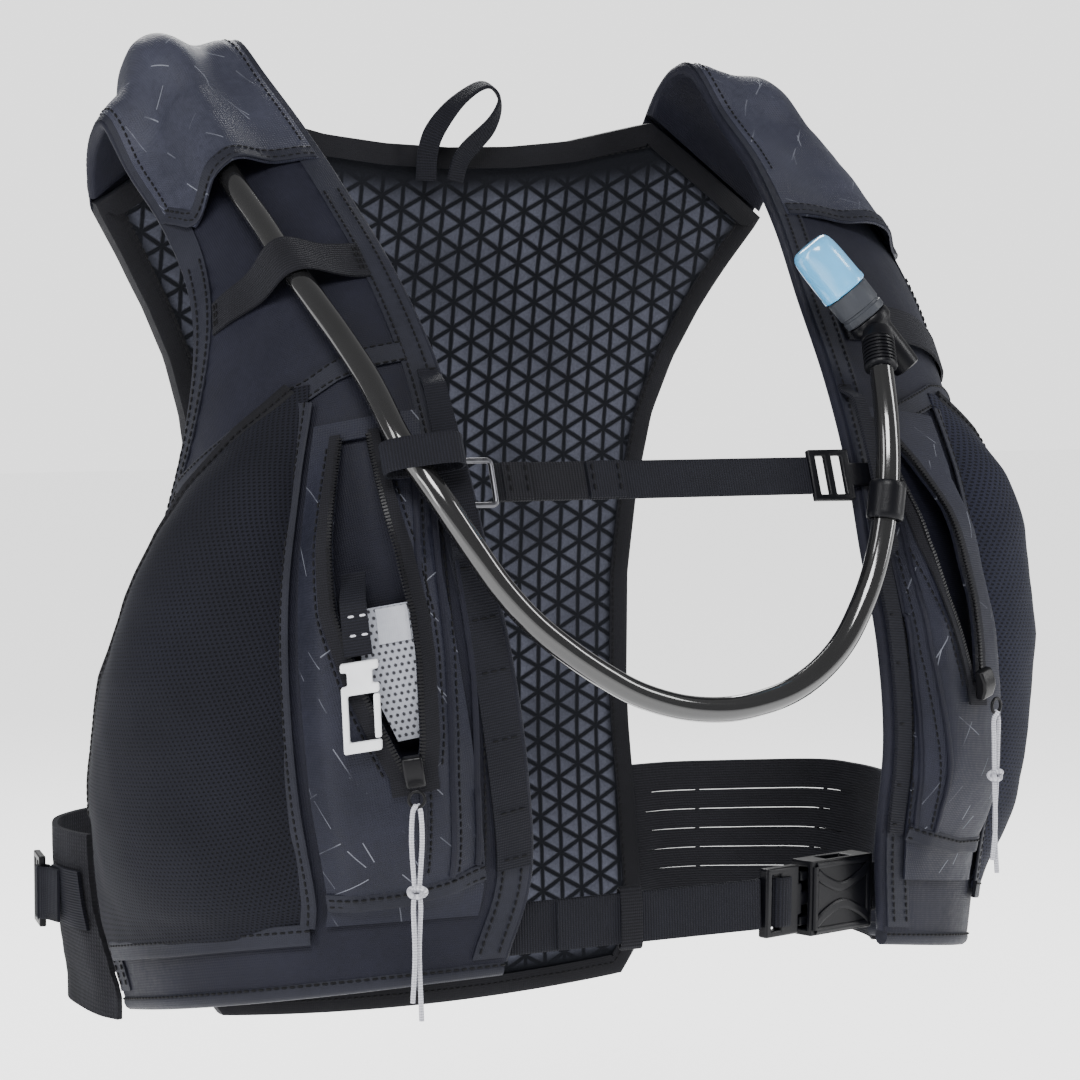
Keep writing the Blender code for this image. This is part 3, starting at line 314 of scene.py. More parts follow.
VALVE_AXIS = Vector((-37, 16, 48.5)).normalized()


def hose_route():
    rear = [Vector((x, back_y(x, z) + depth, z)) for x, depth, z in HOSE_REAR]
    strap = [PANEL["right"].at(t, interp(HOSE_U["right"], t), interp(HOSE_RISE, t)) for t in HOSE_STRAP_T]
    return rear + strap + [Vector(p) for p in HOSE_FREE]


def round_loop(centre, across, out, half_width, half_depth, count=20):
    """Stadium-shaped ring of directions round a centre."""
    ring = []
    for k in range(count):
        angle = 2 * math.pi * k / count
        x = math.copysign(abs(math.cos(angle)) ** 0.6, math.cos(angle)) * half_width
        y = math.copysign(abs(math.sin(angle)) ** 0.8, math.sin(angle)) * half_depth
        ring.append(centre + across * x + out * y)
    return ring


LEG_T = {"right": 9.35, "left": 9.18}
LEG_U = 0.022
RAIL_SPAN = 0.3               # panel stations each side of the strap's ends that set its slide direction
LEG_LIFT = 2.8
KEEPER_AT, TAIL_AT = 76, 46     # mm along the waist strap to its keeper, and to the tail's free end
WAIST_START = Vector((-84, -104.2, -346.0))
WAIST_END = Vector((46, -118.4, -342.5))
BUCKLE_END = Vector((107, -99.5, -344.0))
SHELL_S = (-1, -0.93, -0.85, -0.74, -0.6, -0.4, -0.2, 0, 0.2, 0.4, 0.6, 0.74, 0.85, 0.93, 1)
SHELL_V = (0, 0.03, 0.045, 0.0575, 0.0725, 0.085, 0.12, 0.17, 0.25, 0.34, 0.42, 0.5, 0.6, 0.7, 0.8, 0.88,
           0.93, 0.97, 1)


def wing_path(side, z):
    """Plan path of the elastic wing from the back pad's edge round the ribs to the front panel."""
    sign = PANEL[side].sign
    pad_x = interp([(p[2], p[1]) for p in reversed(PAD_SIDE[5:12])], z)
    panel = PANEL[side]
    best = min(steps(12.4, LAST, 32), key=lambda t: abs(panel.at(t, 1).z - max(z, panel.at(LAST, 1).z)))
    edge = panel.at(best, 1)
    start = Vector((sign * (pad_x + 1.2), back_y(pad_x, z) + 5, z))
    flare = abs(edge.x)
    return [start, Vector((sign * 128, 101, z)), Vector((sign * 152, 95, z)),
            Vector((sign * (flare - 4), 79, z)),
            Vector((sign * (flare + 5), 59, z)), Vector((sign * (flare + 5), edge.y + 17, z)),
            Vector((sign * (flare + 1.0), edge.y + 3.4, z))]


WING_Z = (-320, -392)


# ---------------------------------------------------------------- camera, light and floor
CAMERA_TARGET = Vector((0, -0.020, -0.205))
CAMERA_DISTANCE = 1.25
CAMERA_AZIMUTH, CAMERA_ELEVATION = math.radians(-27), math.radians(4)
LENS = 102.1
FLOOR_Z = -0.62
WORLD_LIGHT, WORLD_SEEN = 0.4, 2.0     # light that the surroundings give, and how bright they look
FLOOR_GLOW = 1.5


def camera():
    a, e = CAMERA_AZIMUTH, CAMERA_ELEVATION
    back = Vector((math.sin(a) * math.cos(e), -math.cos(a) * math.cos(e), math.sin(e)))
    data = bpy.data.cameras.new("camera")
    data.lens = LENS
    data.sensor_width = 36
    obj = bpy.data.objects.new("camera", data)
    obj.location = CAMERA_TARGET + back * CAMERA_DISTANCE
    obj.rotation_mode = "QUATERNION"
    obj.rotation_quaternion = (-back).to_track_quat("-Z", "Y")
    bpy.context.scene.collection.objects.link(obj)
    bpy.context.scene.camera = obj


def area_light(name, place, size, power):
    data = bpy.data.lights.new(name, "AREA")
    data.shape = "RECTANGLE"
    data.size, data.size_y = size
    data.energy = power
    obj = bpy.data.objects.new(name, data)
    obj.location = place
    obj.rotation_mode = "QUATERNION"
    obj.rotation_quaternion = (CAMERA_TARGET - Vector(place)).to_track_quat("-Z", "Y")
    bpy.context.scene.collection.objects.link(obj)


def studio():
    world = bpy.data.worlds.new("studio")
    world.use_nodes = True
    tree = world.node_tree
    tree.nodes["Background"].inputs["Color"].default_value = (1, 1, 1, 1)
    rays = tree.nodes.new("ShaderNodeLightPath")
    strength = tree.nodes.new("ShaderNodeMapRange")
    tree.links.new(rays.outputs["Is Camera Ray"], strength.inputs["Value"])
    strength.inputs["To Min"].default_value = WORLD_LIGHT
    strength.inputs["To Max"].default_value = WORLD_SEEN
    tree.links.new(strength.outputs["Result"], tree.nodes["Background"].inputs["Strength"])
    bpy.context.scene.world = world
    area_light("key", (-0.9, -1.5, 1.3), (1.1, 0.6), 62)
    area_light("fill", (1.6, -0.9, 0.5), (0.4, 1.5), 30)
    area_light("side", (-1.7, -0.4, 0.2), (0.4, 1.5), 22)
    area_light("back", (0.4, 1.5, 1.0), (1.4, 0.7), 40)
    mesh = bpy.data.meshes.new("floor")
    half = 9.0
    mesh.from_pydata([(-half, -half, FLOOR_Z), (half, -half, FLOOR_Z), (half, half, FLOOR_Z),
                      (-half, half, FLOOR_Z)], [], [(0, 1, 2, 3)])
    floor = bpy.data.objects.new("floor", mesh)
    pale = plain_material("pale_floor", (0.93, 0.93, 0.93), 0.9)
    glow = pale.node_tree.nodes["Principled BSDF"].inputs
    glow["Emission Color"].default_value = (1, 1, 1, 1)
    glow["Emission Strength"].default_value = FLOOR_GLOW
    floor.data.materials.append(pale)
    bpy.context.scene.collection.objects.link(floor)


# ---------------------------------------------------------------- materials
CLOTH_SHEEN, CLOTH_GLOSS = 0.08, 0.12
PLASTIC_GLOSS = 0.14
LATTICE_PITCH = 9.8            # mm between neighbouring lines of the back pad's triangles


class Shader:
    """Small helper that adds nodes to a material and links them by name."""

    def __init__(self, name, roughness, metallic=0.0):
        self.mat = bpy.data.materials.new(name)
        self.mat.use_nodes = True
        self.tree = self.mat.node_tree
        self.bsdf = self.tree.nodes["Principled BSDF"]
        self.bsdf.inputs["Roughness"].default_value = roughness
        self.bsdf.inputs["Metallic"].default_value = metallic

    def put(self, socket, value):
        if isinstance(value, bpy.types.NodeSocket):
            self.tree.links.new(value, socket)
        else:
            socket.default_value = value

    def math(self, operation, a, b=0.0):
        node = self.tree.nodes.new("ShaderNodeMath")
        node.operation = operation
        self.put(node.inputs[0], a)
        self.put(node.inputs[1], b)
        return node.outputs[0]

    def times(self, a, b):
        return self.math("MULTIPLY", a, b)

    def plus(self, a, b):
        return self.math("ADD", a, b)

    def minus(self, a, b):
        return self.math("SUBTRACT", a, b)

    def fabric(self):
        node = self.tree.nodes.new("ShaderNodeUVMap")
        node.uv_map = "fabric"
        return node.outputs["UV"]

    def place(self):
        return self.tree.nodes.new("ShaderNodeTexCoord").outputs["Object"]

    def split(self, vector):
        node = self.tree.nodes.new("ShaderNodeSeparateXYZ")
        self.put(node.inputs[0], vector)
        return node.outputs[0], node.outputs[1], node.outputs[2]

    def ripple(self, value, period):
        """Cosine of the given period in metres, from 0 to 1."""
        turned = self.math("COSINE", self.times(value, 2 * math.pi / period))
        return self.times(self.plus(turned, 1.0), 0.5)

    def noise(self, vector, scale, detail=3.0):
        node = self.tree.nodes.new("ShaderNodeTexNoise")
        self.put(node.inputs["Vector"], vector)
        node.inputs["Scale"].default_value = scale
        node.inputs["Detail"].default_value = detail
        return node.outputs["Fac"]

    def spread(self, value, low, high, to_low=0.0, to_high=1.0):
        node = self.tree.nodes.new("ShaderNodeMapRange")
        self.put(node.inputs["Value"], value)
        for key, number in (("From Min", low), ("From Max", high), ("To Min", to_low), ("To Max", to_high)):
            node.inputs[key].default_value = number
        return node.outputs["Result"]

    def mix(self, factor, a, b):
        node = self.tree.nodes.new("ShaderNodeMix")
        node.data_type = "RGBA"
        self.put(node.inputs["Factor"], factor)
        self.put(node.inputs[6], (*a, 1) if isinstance(a, tuple) else a)
        self.put(node.inputs[7], (*b, 1) if isinstance(b, tuple) else b)
        return node.outputs[2]

    def attribute(self, name):
        node = self.tree.nodes.new("ShaderNodeAttribute")
        node.attribute_name = name
        return node.outputs["Fac"]

    def colour(self, value):
        self.put(self.bsdf.inputs["Base Color"], value)

    def rough(self, value):
        self.put(self.bsdf.inputs["Roughness"], value)

    def bump(self, height, distance):
        node = self.tree.nodes.new("ShaderNodeBump")
        node.inputs["Distance"].default_value = distance
        self.put(node.inputs["Height"], height)
        self.tree.links.new(node.outputs["Normal"], self.bsdf.inputs["Normal"])

    def sheen(self, weight):
        self.bsdf.inputs["Sheen Weight"].default_value = weight * CLOTH_SHEEN
        self.bsdf.inputs["Specular IOR Level"].default_value = CLOTH_GLOSS
        self.bsdf.inputs["Sheen Roughness"].default_value = 0.45
        self.bsdf.inputs["Sheen Tint"].default_value = (0.6, 0.65, 0.8, 1)


def plain_material(name, colour, roughness):
    s = Shader(name, roughness)
    grain = s.noise(s.place(), 260.0)
    s.colour(s.mix(s.spread(grain, 0.3, 0.7), tuple(c * 0.93 for c in colour), colour))
    return s.mat


def thin_lines(s):
    """Sparse thin straight strokes at three slopes, 8 to 16 mm long, as a generic print."""
    x, y, _ = s.split(s.fabric())
    total = None
    for slope, cell, reach, seed in ((0.45, 0.017, 0.024, 3.1), (-0.95, 0.021, 0.021, 7.7),
                                     (1.9, 0.026, 0.018, 12.3)):
        c, d = math.cos(slope), math.sin(slope)
        a = s.plus(s.times(x, c), s.times(y, d))
        b = s.minus(s.times(y, c), s.times(x, d))
        a, b = s.math("DIVIDE", a, reach), s.math("DIVIDE", b, cell)
        cells = s.tree.nodes.new("ShaderNodeCombineXYZ")
        s.put(cells.inputs[0], s.math("FLOOR", a))
        s.put(cells.inputs[1], s.math("FLOOR", b))
        cells.inputs[2].default_value = seed
        random = s.tree.nodes.new("ShaderNodeTexWhiteNoise")
        s.put(random.inputs["Vector"], cells.outputs[0])
        one, two, three = s.split(random.outputs["Color"])
        off = s.minus(s.math("FRACT", b), s.plus(s.times(one, 0.7), 0.15))
        near = s.math("LESS_THAN", s.math("ABSOLUTE", off), 0.00022 / cell)
        within = s.math("LESS_THAN", s.math("FRACT", a), s.plus(s.times(two, 0.4), 0.3))
        stroke = s.times(s.times(near, within), s.math("GREATER_THAN", three, 0.42))
        total = stroke if total is None else s.math("MAXIMUM", total, stroke)
    return total


def woven(name, dark, light, roughness, period, depth, printed=False):
    """Cloth whose threads cross at the given period, with broad and fine colour variation."""
    s = Shader(name, roughness)
    x, y, _ = s.split(s.fabric())
    weave = s.times(s.ripple(x, period), s.ripple(y, period))
    broad = s.noise(s.place(), 26.0)
    fine = s.noise(s.place(), 420.0)
    tone = s.plus(s.times(broad, 0.65), s.times(fine, 0.35))
    colour = s.mix(s.spread(tone, 0.3, 0.7), dark, light)
    if printed:
        wear = s.spread(s.noise(s.place(), 55.0), 0.38, 0.6)
        colour = s.mix(s.times(thin_lines(s), wear), colour, (0.10, 0.105, 0.125))
    s.colour(colour)
    s.rough(s.spread(fine, 0.2, 0.8, roughness - 0.08, roughness + 0.08))
    creases = s.times(s.noise(s.place(), 90.0, 5.0), 0.9)
    s.bump(s.plus(s.times(weave, 0.35), creases), depth)
    s.sheen(0.25)
    return s.mat


def ribbed(name, dark, light, roughness, period, across, depth):
    """Webbing or elastic: strong ribs one way and a finer thread the other way; the colour is painted
    lighter on the rib crests and darker in the grooves, as painted highlight and painted shade.
    """
    s = Shader(name, roughness)
    x, y, _ = s.split(s.fabric())
    rib, thread = (s.ripple(y, period), s.ripple(x, across))
    shape = s.plus(s.times(rib, 0.7), s.times(thread, 0.3))
    # painted highlight and shade: the colour follows the rib shape, light on the crests and dark in the
    # grooves, times a random broad tone
    tone = s.times(shape, s.spread(s.noise(s.place(), 120.0), 0.3, 0.7, 0.7, 1.0))
    s.colour(s.mix(tone, dark, light))
    s.bump(shape, depth)
    s.sheen(0.3)
    return s.mat


def netting(name, thread, hole, pitch_x, pitch_y, size):
    """Knitted mesh: rows of small dark holes in a lighter thread."""
    s = Shader(name, 0.85)
    x, y, _ = s.split(s.fabric())
    row = s.math("DIVIDE", y, pitch_y)
    column = s.plus(s.math("DIVIDE", x, pitch_x), s.times(s.math("FLOOR", row), 0.5))
    dx = s.math("ABSOLUTE", s.minus(s.math("FRACT", column), 0.5))
    dy = s.math("ABSOLUTE", s.minus(s.math("FRACT", row), 0.5))
    away = s.math("SQRT", s.plus(s.times(dx, dx), s.times(dy, dy)))
    solid = s.spread(away, size, size + 0.14)
    broad = s.spread(s.noise(s.place(), 34.0), 0.3, 0.7, 0.72, 1.0)
    s.colour(s.mix(s.times(solid, broad), hole, thread))
    s.bump(solid, 0.00035)
    s.sheen(0.2)
    return s.mat


def lattice_fabric():
    """Padded mesh with raised pale triangles; the mesh carries how far each point is raised."""
    s = Shader("lattice_fabric", 0.85)
    x, _, z = s.split(s.place())
    near = None
    for angle in (0, 60, 120):
        a = math.radians(angle)
        d = s.plus(s.times(x, math.cos(a)), s.times(z, math.sin(a)))
        turns = s.math("FRACT", s.plus(s.math("DIVIDE", d, LATTICE_PITCH * MM), 1000.5))
        off = s.times(s.math("ABSOLUTE", s.minus(turns, 0.5)), LATTICE_PITCH)
        near = off if near is None else s.math("MINIMUM", near, off)
    raised = s.times(s.spread(near, 0.62, 1.25), s.attribute("raised"))
    blotch = s.spread(s.noise(s.place(), 16.0), 0.34, 0.62, 0.55, 1.0)
    dots = s.noise(s.place(), 900.0, 1.0)
    tone = s.times(s.times(raised, blotch), s.spread(dots, 0.3, 0.7, 0.75, 1.0))
    s.colour(s.mix(tone, (0.0025, 0.003, 0.0048), (0.054, 0.057, 0.076)))
    s.bump(s.plus(s.times(dots, 0.3), raised), 0.0009)
    s.sheen(0.2)
    return s.mat


def moulding(name, colour, roughness, coat=0.0):
    s = Shader(name, roughness)
    tone = s.noise(s.place(), 60.0)
    s.colour(s.mix(s.spread(tone, 0.3, 0.7), tuple(c * 0.8 for c in colour), colour))
    s.rough(s.spread(tone, 0.25, 0.75, roughness - 0.05, roughness + 0.06))
    s.bump(s.noise(s.place(), 1400.0, 2.0), 0.00006)
    s.bsdf.inputs["Specular IOR Level"].default_value = PLASTIC_GLOSS
    s.bsdf.inputs["Coat Weight"].default_value = coat
    s.bsdf.inputs["Coat Roughness"].default_value = 0.12
    return s.mat


def clear_plastic(name, colour, roughness, share):
    s = Shader(name, roughness)
    tone = s.noise(s.place(), 45.0)
    s.colour(s.mix(s.spread(tone, 0.3, 0.7), tuple(c * 0.82 for c in colour), colour))
    s.bsdf.inputs["Transmission Weight"].default_value = share
    s.bsdf.inputs["Coat Weight"].default_value = 0.6
    s.bsdf.inputs["Coat Roughness"].default_value = 0.06
    return s.mat


def wire_metal(name, colour, roughness):
    s = Shader(name, roughness, 1.0)
    brushed = s.noise(s.place(), 700.0)
    s.colour(s.mix(s.spread(brushed, 0.3, 0.7), tuple(c * 0.85 for c in colour), colour))
    s.rough(s.spread(brushed, 0.3, 0.7, roughness - 0.05, roughness + 0.1))
    return s.mat


LOOK = {
    "ripstop": woven("printed_ripstop", (0.013, 0.0138, 0.021), (0.026, 0.0275, 0.041), 0.5, 0.0011, 0.0003,
                     True),
    "plain": woven("strap_fabric", (0.0034, 0.0036, 0.0072), (0.0080, 0.0084, 0.0150), 0.6, 0.0009, 0.00025),
    "pocket": woven("pocket_fabric", (0.0055, 0.006, 0.0105), (0.012, 0.0127, 0.0212), 0.55, 0.0010, 0.0003,
                    True),
    "hem": woven("hem_fabric", (0.006, 0.0064, 0.010), (0.013, 0.0137, 0.020), 0.6, 0.0009, 0.0002),
    "stretch_mesh": netting("stretch_mesh", (0.0052, 0.0055, 0.0092), (0.001, 0.001, 0.0016), 0.0019,
                            0.0016, 0.17),
    "fine_mesh": netting("fine_mesh", (0.0085, 0.0095, 0.018), (0.002, 0.002, 0.004), 0.0034, 0.0017, 0.2),
    "grey_mesh": netting("grey_mesh", (0.30, 0.31, 0.35), (0.03, 0.03, 0.035), 0.0024, 0.0026, 0.17),
    "label": woven("label_band", (0.30, 0.31, 0.35), (0.38, 0.39, 0.43), 0.8, 0.0008, 0.0001),
    "foam_pad": lattice_fabric(),
    "binding": woven("edge_binding", (0.0025, 0.0025, 0.0035), (0.006, 0.006, 0.008), 0.72, 0.0010, 0.0002),
    "webbing": ribbed("webbing", (0.0018, 0.0019, 0.0032), (0.0070, 0.0073, 0.0118), 0.7, 0.0011, 0.0007,
                      0.00025),
    "elastic": ribbed("elastic", (0.0025, 0.0025, 0.0035), (0.010, 0.010, 0.013), 0.8, 0.0012, 0.0008,
                      0.0003),
    "moulded_black": moulding("moulded_black", (0.0026, 0.0027, 0.0040), 0.36),
    "zip_black": moulding("zip_black", (0.004, 0.004, 0.005), 0.34),
    "tape": ribbed("zip_tape", (0.003, 0.003, 0.004), (0.009, 0.009, 0.012), 0.8, 0.0009, 0.0009, 0.0001),
    "grey_cord": ribbed("grey_cord", (0.22, 0.22, 0.25), (0.48, 0.48, 0.52), 0.75, 0.0010, 0.0012, 0.0002),
    "pale_plastic": moulding("pale_plastic", (0.62, 0.63, 0.65), 0.35, 0.2),
    "steel": wire_metal("wire_steel", (0.10, 0.10, 0.11), 0.32),
    "hose": clear_plastic("hose_plastic", (0.007, 0.007, 0.0075), 0.13, 0.05),
    "blue_cap": clear_plastic("cap_plastic", (0.13, 0.47, 0.80), 0.24, 0.3),
    "silicone": moulding("silicone", (0.035, 0.038, 0.045), 0.45),
    "bladder": clear_plastic("bladder_film", (0.45, 0.62, 0.75), 0.3, 0.2),
    "thread": moulding("stitch_thread", (0.0022, 0.0022, 0.003), 0.7),
    "fuzz": woven("loop_fabric", (0.004, 0.004, 0.005), (0.014, 0.014, 0.017), 0.95, 0.0016, 0.0010),
}


# ---------------------------------------------------------------- mesh builders
def mesh_object(name, verts, faces, look, body, nodes=(), uvs=None, sharp=40):
    """Mesh piece from millimetre points that rides on a body and stands for the given CAD nodes."""
    mesh = bpy.data.meshes.new(name)
    mesh.from_pydata([tuple(Vector(p) * MM) for p in verts], [], faces)
    if uvs:
        layer = mesh.uv_layers.new(name="fabric")
        for loop in mesh.loops:
            layer.data[loop.index].uv = (uvs[loop.vertex_index][0] * MM, uvs[loop.vertex_index][1] * MM)
    bm = bmesh.new()
    bm.from_mesh(mesh)
    bmesh.ops.recalc_face_normals(bm, faces=bm.faces)
    bm.to_mesh(mesh)
    bm.free()
    mesh.shade_smooth()
    mesh.set_sharp_from_angle(angle=math.radians(sharp))
    obj = bpy.data.objects.new(name, mesh)
    bpy.context.scene.collection.objects.link(obj)
    obj.data.materials.append(LOOK[look])
    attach(obj, body)
    if nodes:
        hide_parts(*nodes)
    return obj


def flatten(direction, axis):
    """Unit direction with its part along axis taken out."""
    return (direction - axis * direction.dot(axis)).normalized()


def arc_lengths(points):
    total = [0.0]
    for a, b in zip(points, points[1:]):
        total.append(total[-1] + (b - a).length)
    return total


def skin(name, outer, inner, look, body, nodes=(), keep=None):
    """Closed body between two grids of points, with the cloth's own lengths as its UV map."""
    rows, cols = len(outer), len(outer[0])
    solid = {(i, j) for i in range(rows - 1) for j in range(cols - 1) if keep is None or keep(i, j)}
    down = arc_lengths([row[cols // 2] for row in outer])
    across = [arc_lengths(row) for row in outer]
    index, verts, uvs, faces = {}, [], [], []

    def vert(i, j, layer):
        key = (i, j, layer)
        if key not in index:
            index[key] = len(verts)
            verts.append((outer, inner)[layer][i][j])
            uvs.append((across[i][j] - across[i][cols // 2], down[i]))
        return index[key]

    for i, j in sorted(solid):
        ring = ((i, j), (i, j + 1), (i + 1, j + 1), (i + 1, j))
        faces.append(tuple(vert(*c, 0) for c in ring))
        faces.append(tuple(vert(*c, 1) for c in reversed(ring)))
        for other, a, b in (((i - 1, j), ring[0], ring[1]), ((i, j + 1), ring[1], ring[2]),
                            ((i + 1, j), ring[2], ring[3]), ((i, j - 1), ring[3], ring[0])):
            if other not in solid:
                faces.append((vert(*a, 0), vert(*b, 0), vert(*b, 1), vert(*a, 1)))
    return mesh_object(name, verts, faces, look, body, nodes, uvs)


def panel_skin(name, side, ts, us, low, high, look, nodes=(), keep=None):
    """Skin that follows a panel; us may be a function of t, low and high of (t, u)."""
    panel = PANEL[side]
    outer, inner = [], []
    for t in ts:
        line = us(t) if callable(us) else us
        outer.append([panel.at(t, u, high(t, u)) for u in line])
        inner.append([panel.at(t, u, low(t, u)) for u in line])
    return skin(name, outer, inner, look, "pack", nodes, keep)


def loft(name, rings, look, body, nodes=(), closed=False, sharp=40):
    """Solid through a row of rings of points; the ends are capped unless the row is closed."""
    count, sides = len(rings), len(rings[0])
    verts = [p for ring in rings for p in ring]
    along = arc_lengths([ring[0] for ring in rings])
    uvs = []
    for k, ring in enumerate(rings):
        around = arc_lengths(ring)
        uvs += [(around[j], along[k]) for j in range(sides)]
    faces = []
    for k in range(count if closed else count - 1):
        following = (k + 1) % count
        for j in range(sides):
            n = (j + 1) % sides
            faces.append((k * sides + j, k * sides + n, following * sides + n, following * sides + j))
    if not closed:
        faces.append(tuple(range(sides))[::-1])
        faces.append(tuple(range((count - 1) * sides, count * sides)))
    return mesh_object(name, verts, faces, look, body, nodes, uvs, sharp)


def band_section(width, thick, corner=3):
    """Outline of a flat band with rounded edges, as (sideways, outward) pairs."""
    r, w = thick / 2, width / 2 - thick / 2
    turn = [math.pi * (k / corner - 0.5) for k in range(corner + 1)]
    right = [(w + r * math.cos(a), r * math.sin(a)) for a in turn]
    flat = [w * (1 - 2 * k / 8) for k in range(1, 8)]
    left = [(-w - r * math.cos(a), -r * math.sin(a)) for a in turn]
    return right + [(x, r) for x in flat] + left + [(-x, -r) for x in flat]


def round_section(radius, sides=10):
    return [(radius * math.cos(2 * math.pi * k / sides), radius * math.sin(2 * math.pi * k / sides))
            for k in range(sides)]


def tangents(points, closed=False):
    n = len(points)
    if closed:
        return [(points[(k + 1) % n] - points[k - 1]).normalized() for k in range(n)]
    return [(points[min(k + 1, n - 1)] - points[max(k - 1, 0)]).normalized() for k in range(n)]


def sweep(name, points, section, look, body, nodes=(), outs=None, closed=False):
    """Section carried along points; outs gives the section's outward direction at each point."""
    along = tangents(points, closed)
    if outs is None:
        out = along[0].orthogonal().normalized()
        outs = []
        for d in along:
            out = flatten(out, d)
            outs.append(out)
    rings = []
    for p, d, n in zip(points, along, outs):
        n = flatten(n, d)
        side = d.cross(n).normalized()
        rings.append([p + side * x + n * y for x, y in section])
    return loft(name, rings, look, body, nodes, closed)


def resample(points, step):
    """Evenly spaced (point, index) pairs along a polyline."""
    lengths = arc_lengths(points)
    count = max(int(lengths[-1] / step), 1)
    found, k = [], 0
    for i in range(count + 1):
        want = lengths[-1] * i / count
        while k < len(points) - 2 and lengths[k + 1] < want:
            k += 1
        part = (want - lengths[k]) / max(lengths[k + 1] - lengths[k], 1e-9)
        found.append((points[k].lerp(points[k + 1], part), k))
    return found


STITCH_PITCH, STITCH_LONG, STITCH_WIDE = 3.1, 2.2, 0.42


def stitches(name, runs, body, look="thread"):
    """Row of short raised stitches along each run of (point, outward normal) pairs."""
    verts, faces = [], []
    for run in runs:
        points, outs = [p for p, _ in run], [n for _, n in run]
        spots = resample(points, STITCH_PITCH)
        for (p, k), (q, _) in zip(spots, spots[1:]):
            d = (q - p).normalized()
            n = flatten(outs[k], d)
            side = d.cross(n)
            first = len(verts)
            for reach, size in ((0, 0.35), (0.18, 1.0), (0.82, 1.0), (1.0, 0.35)):
                middle = p + d * (STITCH_LONG * reach)
                for x, y in ((1, 0), (0.5, 0.8), (-0.5, 0.8), (-1, 0), (0, -0.8)):
                    verts.append(middle + side * (x * size * STITCH_WIDE) + n * (y * size * STITCH_WIDE))
            for ring in range(3):
                for k5 in range(5):
                    a, b = first + ring * 5 + k5, first + ring * 5 + (k5 + 1) % 5
                    faces.append((a, b, b + 5, a + 5))
            faces.append(tuple(range(first, first + 5))[::-1])
            faces.append(tuple(range(first + 15, first + 20)))
    return mesh_object(name, verts, faces, look, body)


def panel_run(side, spots, lift, count=60):
    """Stitch run over a panel through (t, u) spots; lift gives the surface height there."""
    panel, run = PANEL[side], []
    for k in range(count + 1):
        x = (len(spots) - 1) * k / count
        i = min(int(x), len(spots) - 2)
        t = spots[i][0] + (spots[i + 1][0] - spots[i][0]) * (x - i)
        u = spots[i][1] + (spots[i + 1][1] - spots[i][1]) * (x - i)
        run.append((panel.at(t, u, lift(t, u) + 0.15), panel.normal(t, u)))
    return run


def moulded(node, body, look, bevel=0.45, segments=3):
    """Moulded part on the CAD shape, with flats merged and every edge rounded."""
    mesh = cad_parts[node].data.copy()
    bm = bmesh.new()
    bm.from_mesh(mesh)
    bmesh.ops.remove_doubles(bm, verts=bm.verts, dist=0.00001)
    bmesh.ops.dissolve_limit(bm, angle_limit=math.radians(3), verts=bm.verts, edges=bm.edges)
    bm.to_mesh(mesh)
    bm.free()
    mesh.materials.clear()
    mesh.materials.append(LOOK[look])
    obj = bpy.data.objects.new(f"{node}_moulded", mesh)
    bpy.context.scene.collection.objects.link(obj)
    rounding = obj.modifiers.new("rounding", "BEVEL")
    rounding.width = bevel * MM
    rounding.segments = segments
    rounding.limit_method = "ANGLE"
    rounding.angle_limit = math.radians(28)
    rounding.use_clamp_overlap = True
    mesh.shade_smooth()
    mesh.set_sharp_from_angle(angle=math.radians(50))
    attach(obj, body)
    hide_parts(node)
    return obj


def crease(p, scale, amount):
    """Smooth pseudo-random height at a point, the same on every run."""
    return noise.noise(p * scale) * amount


def bell(x, width):
    return math.exp(-(x / width) ** 2)


# ---------------------------------------------------------------- back pad
GROOVE = (0.9, 2.4)
PAD_RAISED = 0.8


def lattice(p):
    """How far the pad stands up at a point: 1 on a triangle, 0 in a groove."""
    near = LATTICE_PITCH
    for angle in (0, 60, 120):
        a = math.radians(angle)
        d = (p.x * math.cos(a) + p.z * math.sin(a)) / LATTICE_PITCH
        near = min(near, abs((d + 0.5) % 1 - 0.5) * LATTICE_PITCH)
    return ramp(near, *GROOVE)


